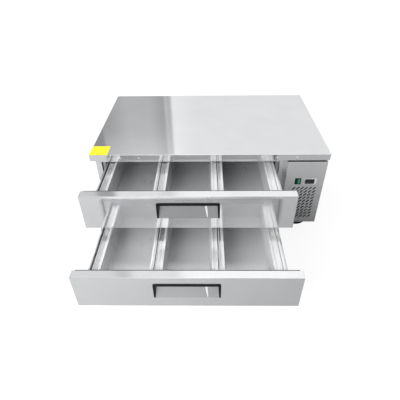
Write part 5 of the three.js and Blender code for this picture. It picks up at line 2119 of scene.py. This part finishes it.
        # These slopes paint light and shade into the glow: a lit pool to the left, a painted shadow in front of
        # the cabinet, and painted light far behind and to the right.
        slopes = []
        for way, ((start, first), (end, last)) in (("X", self.painted_floor_pool), ("Y", self.painted_floor_shadow),
                                                   ("Y", self.painted_light_far_behind), ("X", self.painted_light_far_right)):
            slopes.append(add_node(tree, "ShaderNodeMapRange", {"interpolation_type": "SMOOTHSTEP"}, {
                "Value": across.outputs[way], "From Min": start, "From Max": end,
                "To Min": first, "To Max": last}))
        before = add_node(tree, "ShaderNodeMath", {"operation": "MULTIPLY"}, {0: slopes[0], 1: slopes[1]})
        beside = add_node(tree, "ShaderNodeMath", {"operation": "MAXIMUM"}, {0: slopes[2], 1: slopes[3]})
        shaded = add_node(tree, "ShaderNodeMath", {"operation": "ADD"}, {0: before, 1: beside})
        mirrored = add_node(tree, "ShaderNodeMix", {"data_type": "FLOAT"}, {
            "Factor": path.outputs["Is Glossy Ray"], 2: 1.0, 3: self.floor_lit_mirrored})
        lit = add_node(tree, "ShaderNodeMix", {"data_type": "FLOAT"}, {
            "Factor": path.outputs["Is Camera Ray"], 2: mirrored, 3: self.floor_lit_seen})
        glow = add_node(tree, "ShaderNodeMix", {"data_type": "FLOAT"}, {
            "Factor": path.outputs["Is Camera Ray"], 2: shaded, 3: self.camera_white})
        shine = add_node(tree, "ShaderNodeEmission", None, {"Strength": glow})
        paint = add_node(tree, "ShaderNodeBsdfDiffuse", None, {"Color": from_hex(self.floor_tone)})
        both = add_node(tree, "ShaderNodeMixShader", None, {"Fac": lit, 1: shine, 2: paint})
        fill_inputs(tree, tree.nodes["Material Output"], {"Surface": both})
        return material

    def lamp(self) -> None:
        """Hangs the large soft lamp."""
        light = bpy.data.lights.new("soft_lamp", "AREA")
        light.size = self.lamp_side
        light.energy = self.lamp_power
        lamp = put("soft_lamp", light)
        turn = (Vector(self.lamp_aim) - Vector(self.lamp_place)).to_track_quat("-Z", "Y")
        lamp.matrix_world = Matrix.Translation(self.lamp_place) @ turn.to_matrix().to_4x4()
        lamp.visible_glossy = False

    def world(self) -> None:
        """Paints the room: white to the camera, even on matt surfaces, and by stretches in the steel."""
        world = bpy.data.worlds.new("studio_room")
        bpy.context.scene.world = world
        world.use_nodes = True
        tree = world.node_tree
        way = add_node(tree, "ShaderNodeTexCoord")
        parts = add_node(tree, "ShaderNodeSeparateXYZ", None, {"Vector": way.outputs["Generated"]})
        path = add_node(tree, "ShaderNodeLightPath")
        clear = add_node(tree, "ShaderNodeMath", {"operation": "MAXIMUM"}, {
            0: path.outputs["Is Glossy Ray"], 1: path.outputs["Is Transmission Ray"]})
        fill = add_node(tree, "ShaderNodeMapRange", None, {
            "Value": parts.outputs["X"], "From Min": self.fills[0][0], "From Max": self.fills[1][0],
            "To Min": self.fills[0][1], "To Max": self.fills[1][1]})
        overhead = add_node(tree, "ShaderNodeMapRange", None, {
            "Value": parts.outputs["Z"], "To Min": self.fill_rise[0], "To Max": self.fill_rise[1]})
        spread = add_node(tree, "ShaderNodeMath", {"operation": "MULTIPLY"}, {0: fill, 1: overhead})
        inside = add_node(tree, "ShaderNodeMix", {"data_type": "RGBA"}, {
            "Factor": clear, 6: spread, 7: self.stretches(tree, parts)})
        seen = add_node(tree, "ShaderNodeMix", {"data_type": "RGBA"}, {
            "Factor": path.outputs["Is Camera Ray"], 6: inside.outputs[2], 7: (1.0, 1.0, 1.0, 1.0)})
        fill_inputs(tree, tree.nodes["Background"], {"Color": seen.outputs[2]})

    def stretches(self, tree: Tree, parts: Node) -> Source:
        """Adds what the steel mirrors, stretch by stretch.

        Args:
            tree: the world's tree.
            parts: the node that splits the direction of sight into X, Y and Z.

        Returns:
            The colour in that direction.
        """
        bearing = add_node(tree, "ShaderNodeMath", {"operation": "ARCTAN2"},
                           {0: parts.outputs["X"], 1: parts.outputs["Y"]})
        rise = add_node(tree, "ShaderNodeMath", {"operation": "ARCSINE"}, {0: parts.outputs["Z"]})
        height = add_node(tree, "ShaderNodeMapRange", None, {
            "Value": rise, "From Min": 0.0, "From Max": math.pi / 2})
        mirrored = None
        for backdrop in self.backdrops:
            ramp = add_node(tree, "ShaderNodeValToRGB", None, {"Fac": height})
            stops = ramp.color_ramp.elements
            while len(stops) < len(backdrop.glow):
                stops.new(0.5)
            for stop, (degrees, glow) in zip(stops, backdrop.glow):
                stop.position = degrees / 90
                stop.color = (glow, glow, glow, 1.0)
            if mirrored is None:
                mirrored = ramp
                continue
            past = add_node(tree, "ShaderNodeMapRange", None, {
                "Value": bearing, "From Min": math.radians(backdrop.start - backdrop.blur),
                "From Max": math.radians(backdrop.start + backdrop.blur)})
            mirrored = add_node(tree, "ShaderNodeMix", {"data_type": "RGBA"},
                                {"Factor": past, 6: mirrored, 7: ramp}).outputs[2]
        return mirrored


def main() -> None:
    """Builds the studio and then every sub-assembly in order."""
    logging.basicConfig(level=logging.INFO, format="%(message)s")
    finishes = FinishBook()
    Studio().build()
    assemblies = [
        Cabinet(finishes),
        DrawerSlides(finishes, side="left"),
        DrawerSlides(finishes, side="right"),
        Drawer(finishes, level="upper"),
        Drawer(finishes, level="lower"),
        MachineCover(finishes),
        RearCovers(finishes),
        Controls(finishes),
        Refrigeration(finishes),
    ]
    assemblies += [Caster(finishes, corner=f"{end}_{side}")
                   for end in ("front", "rear") for side in ("left", "right")]
    for assembly in assemblies:
        assembly.build()


if __name__ == "__main__":
    main()
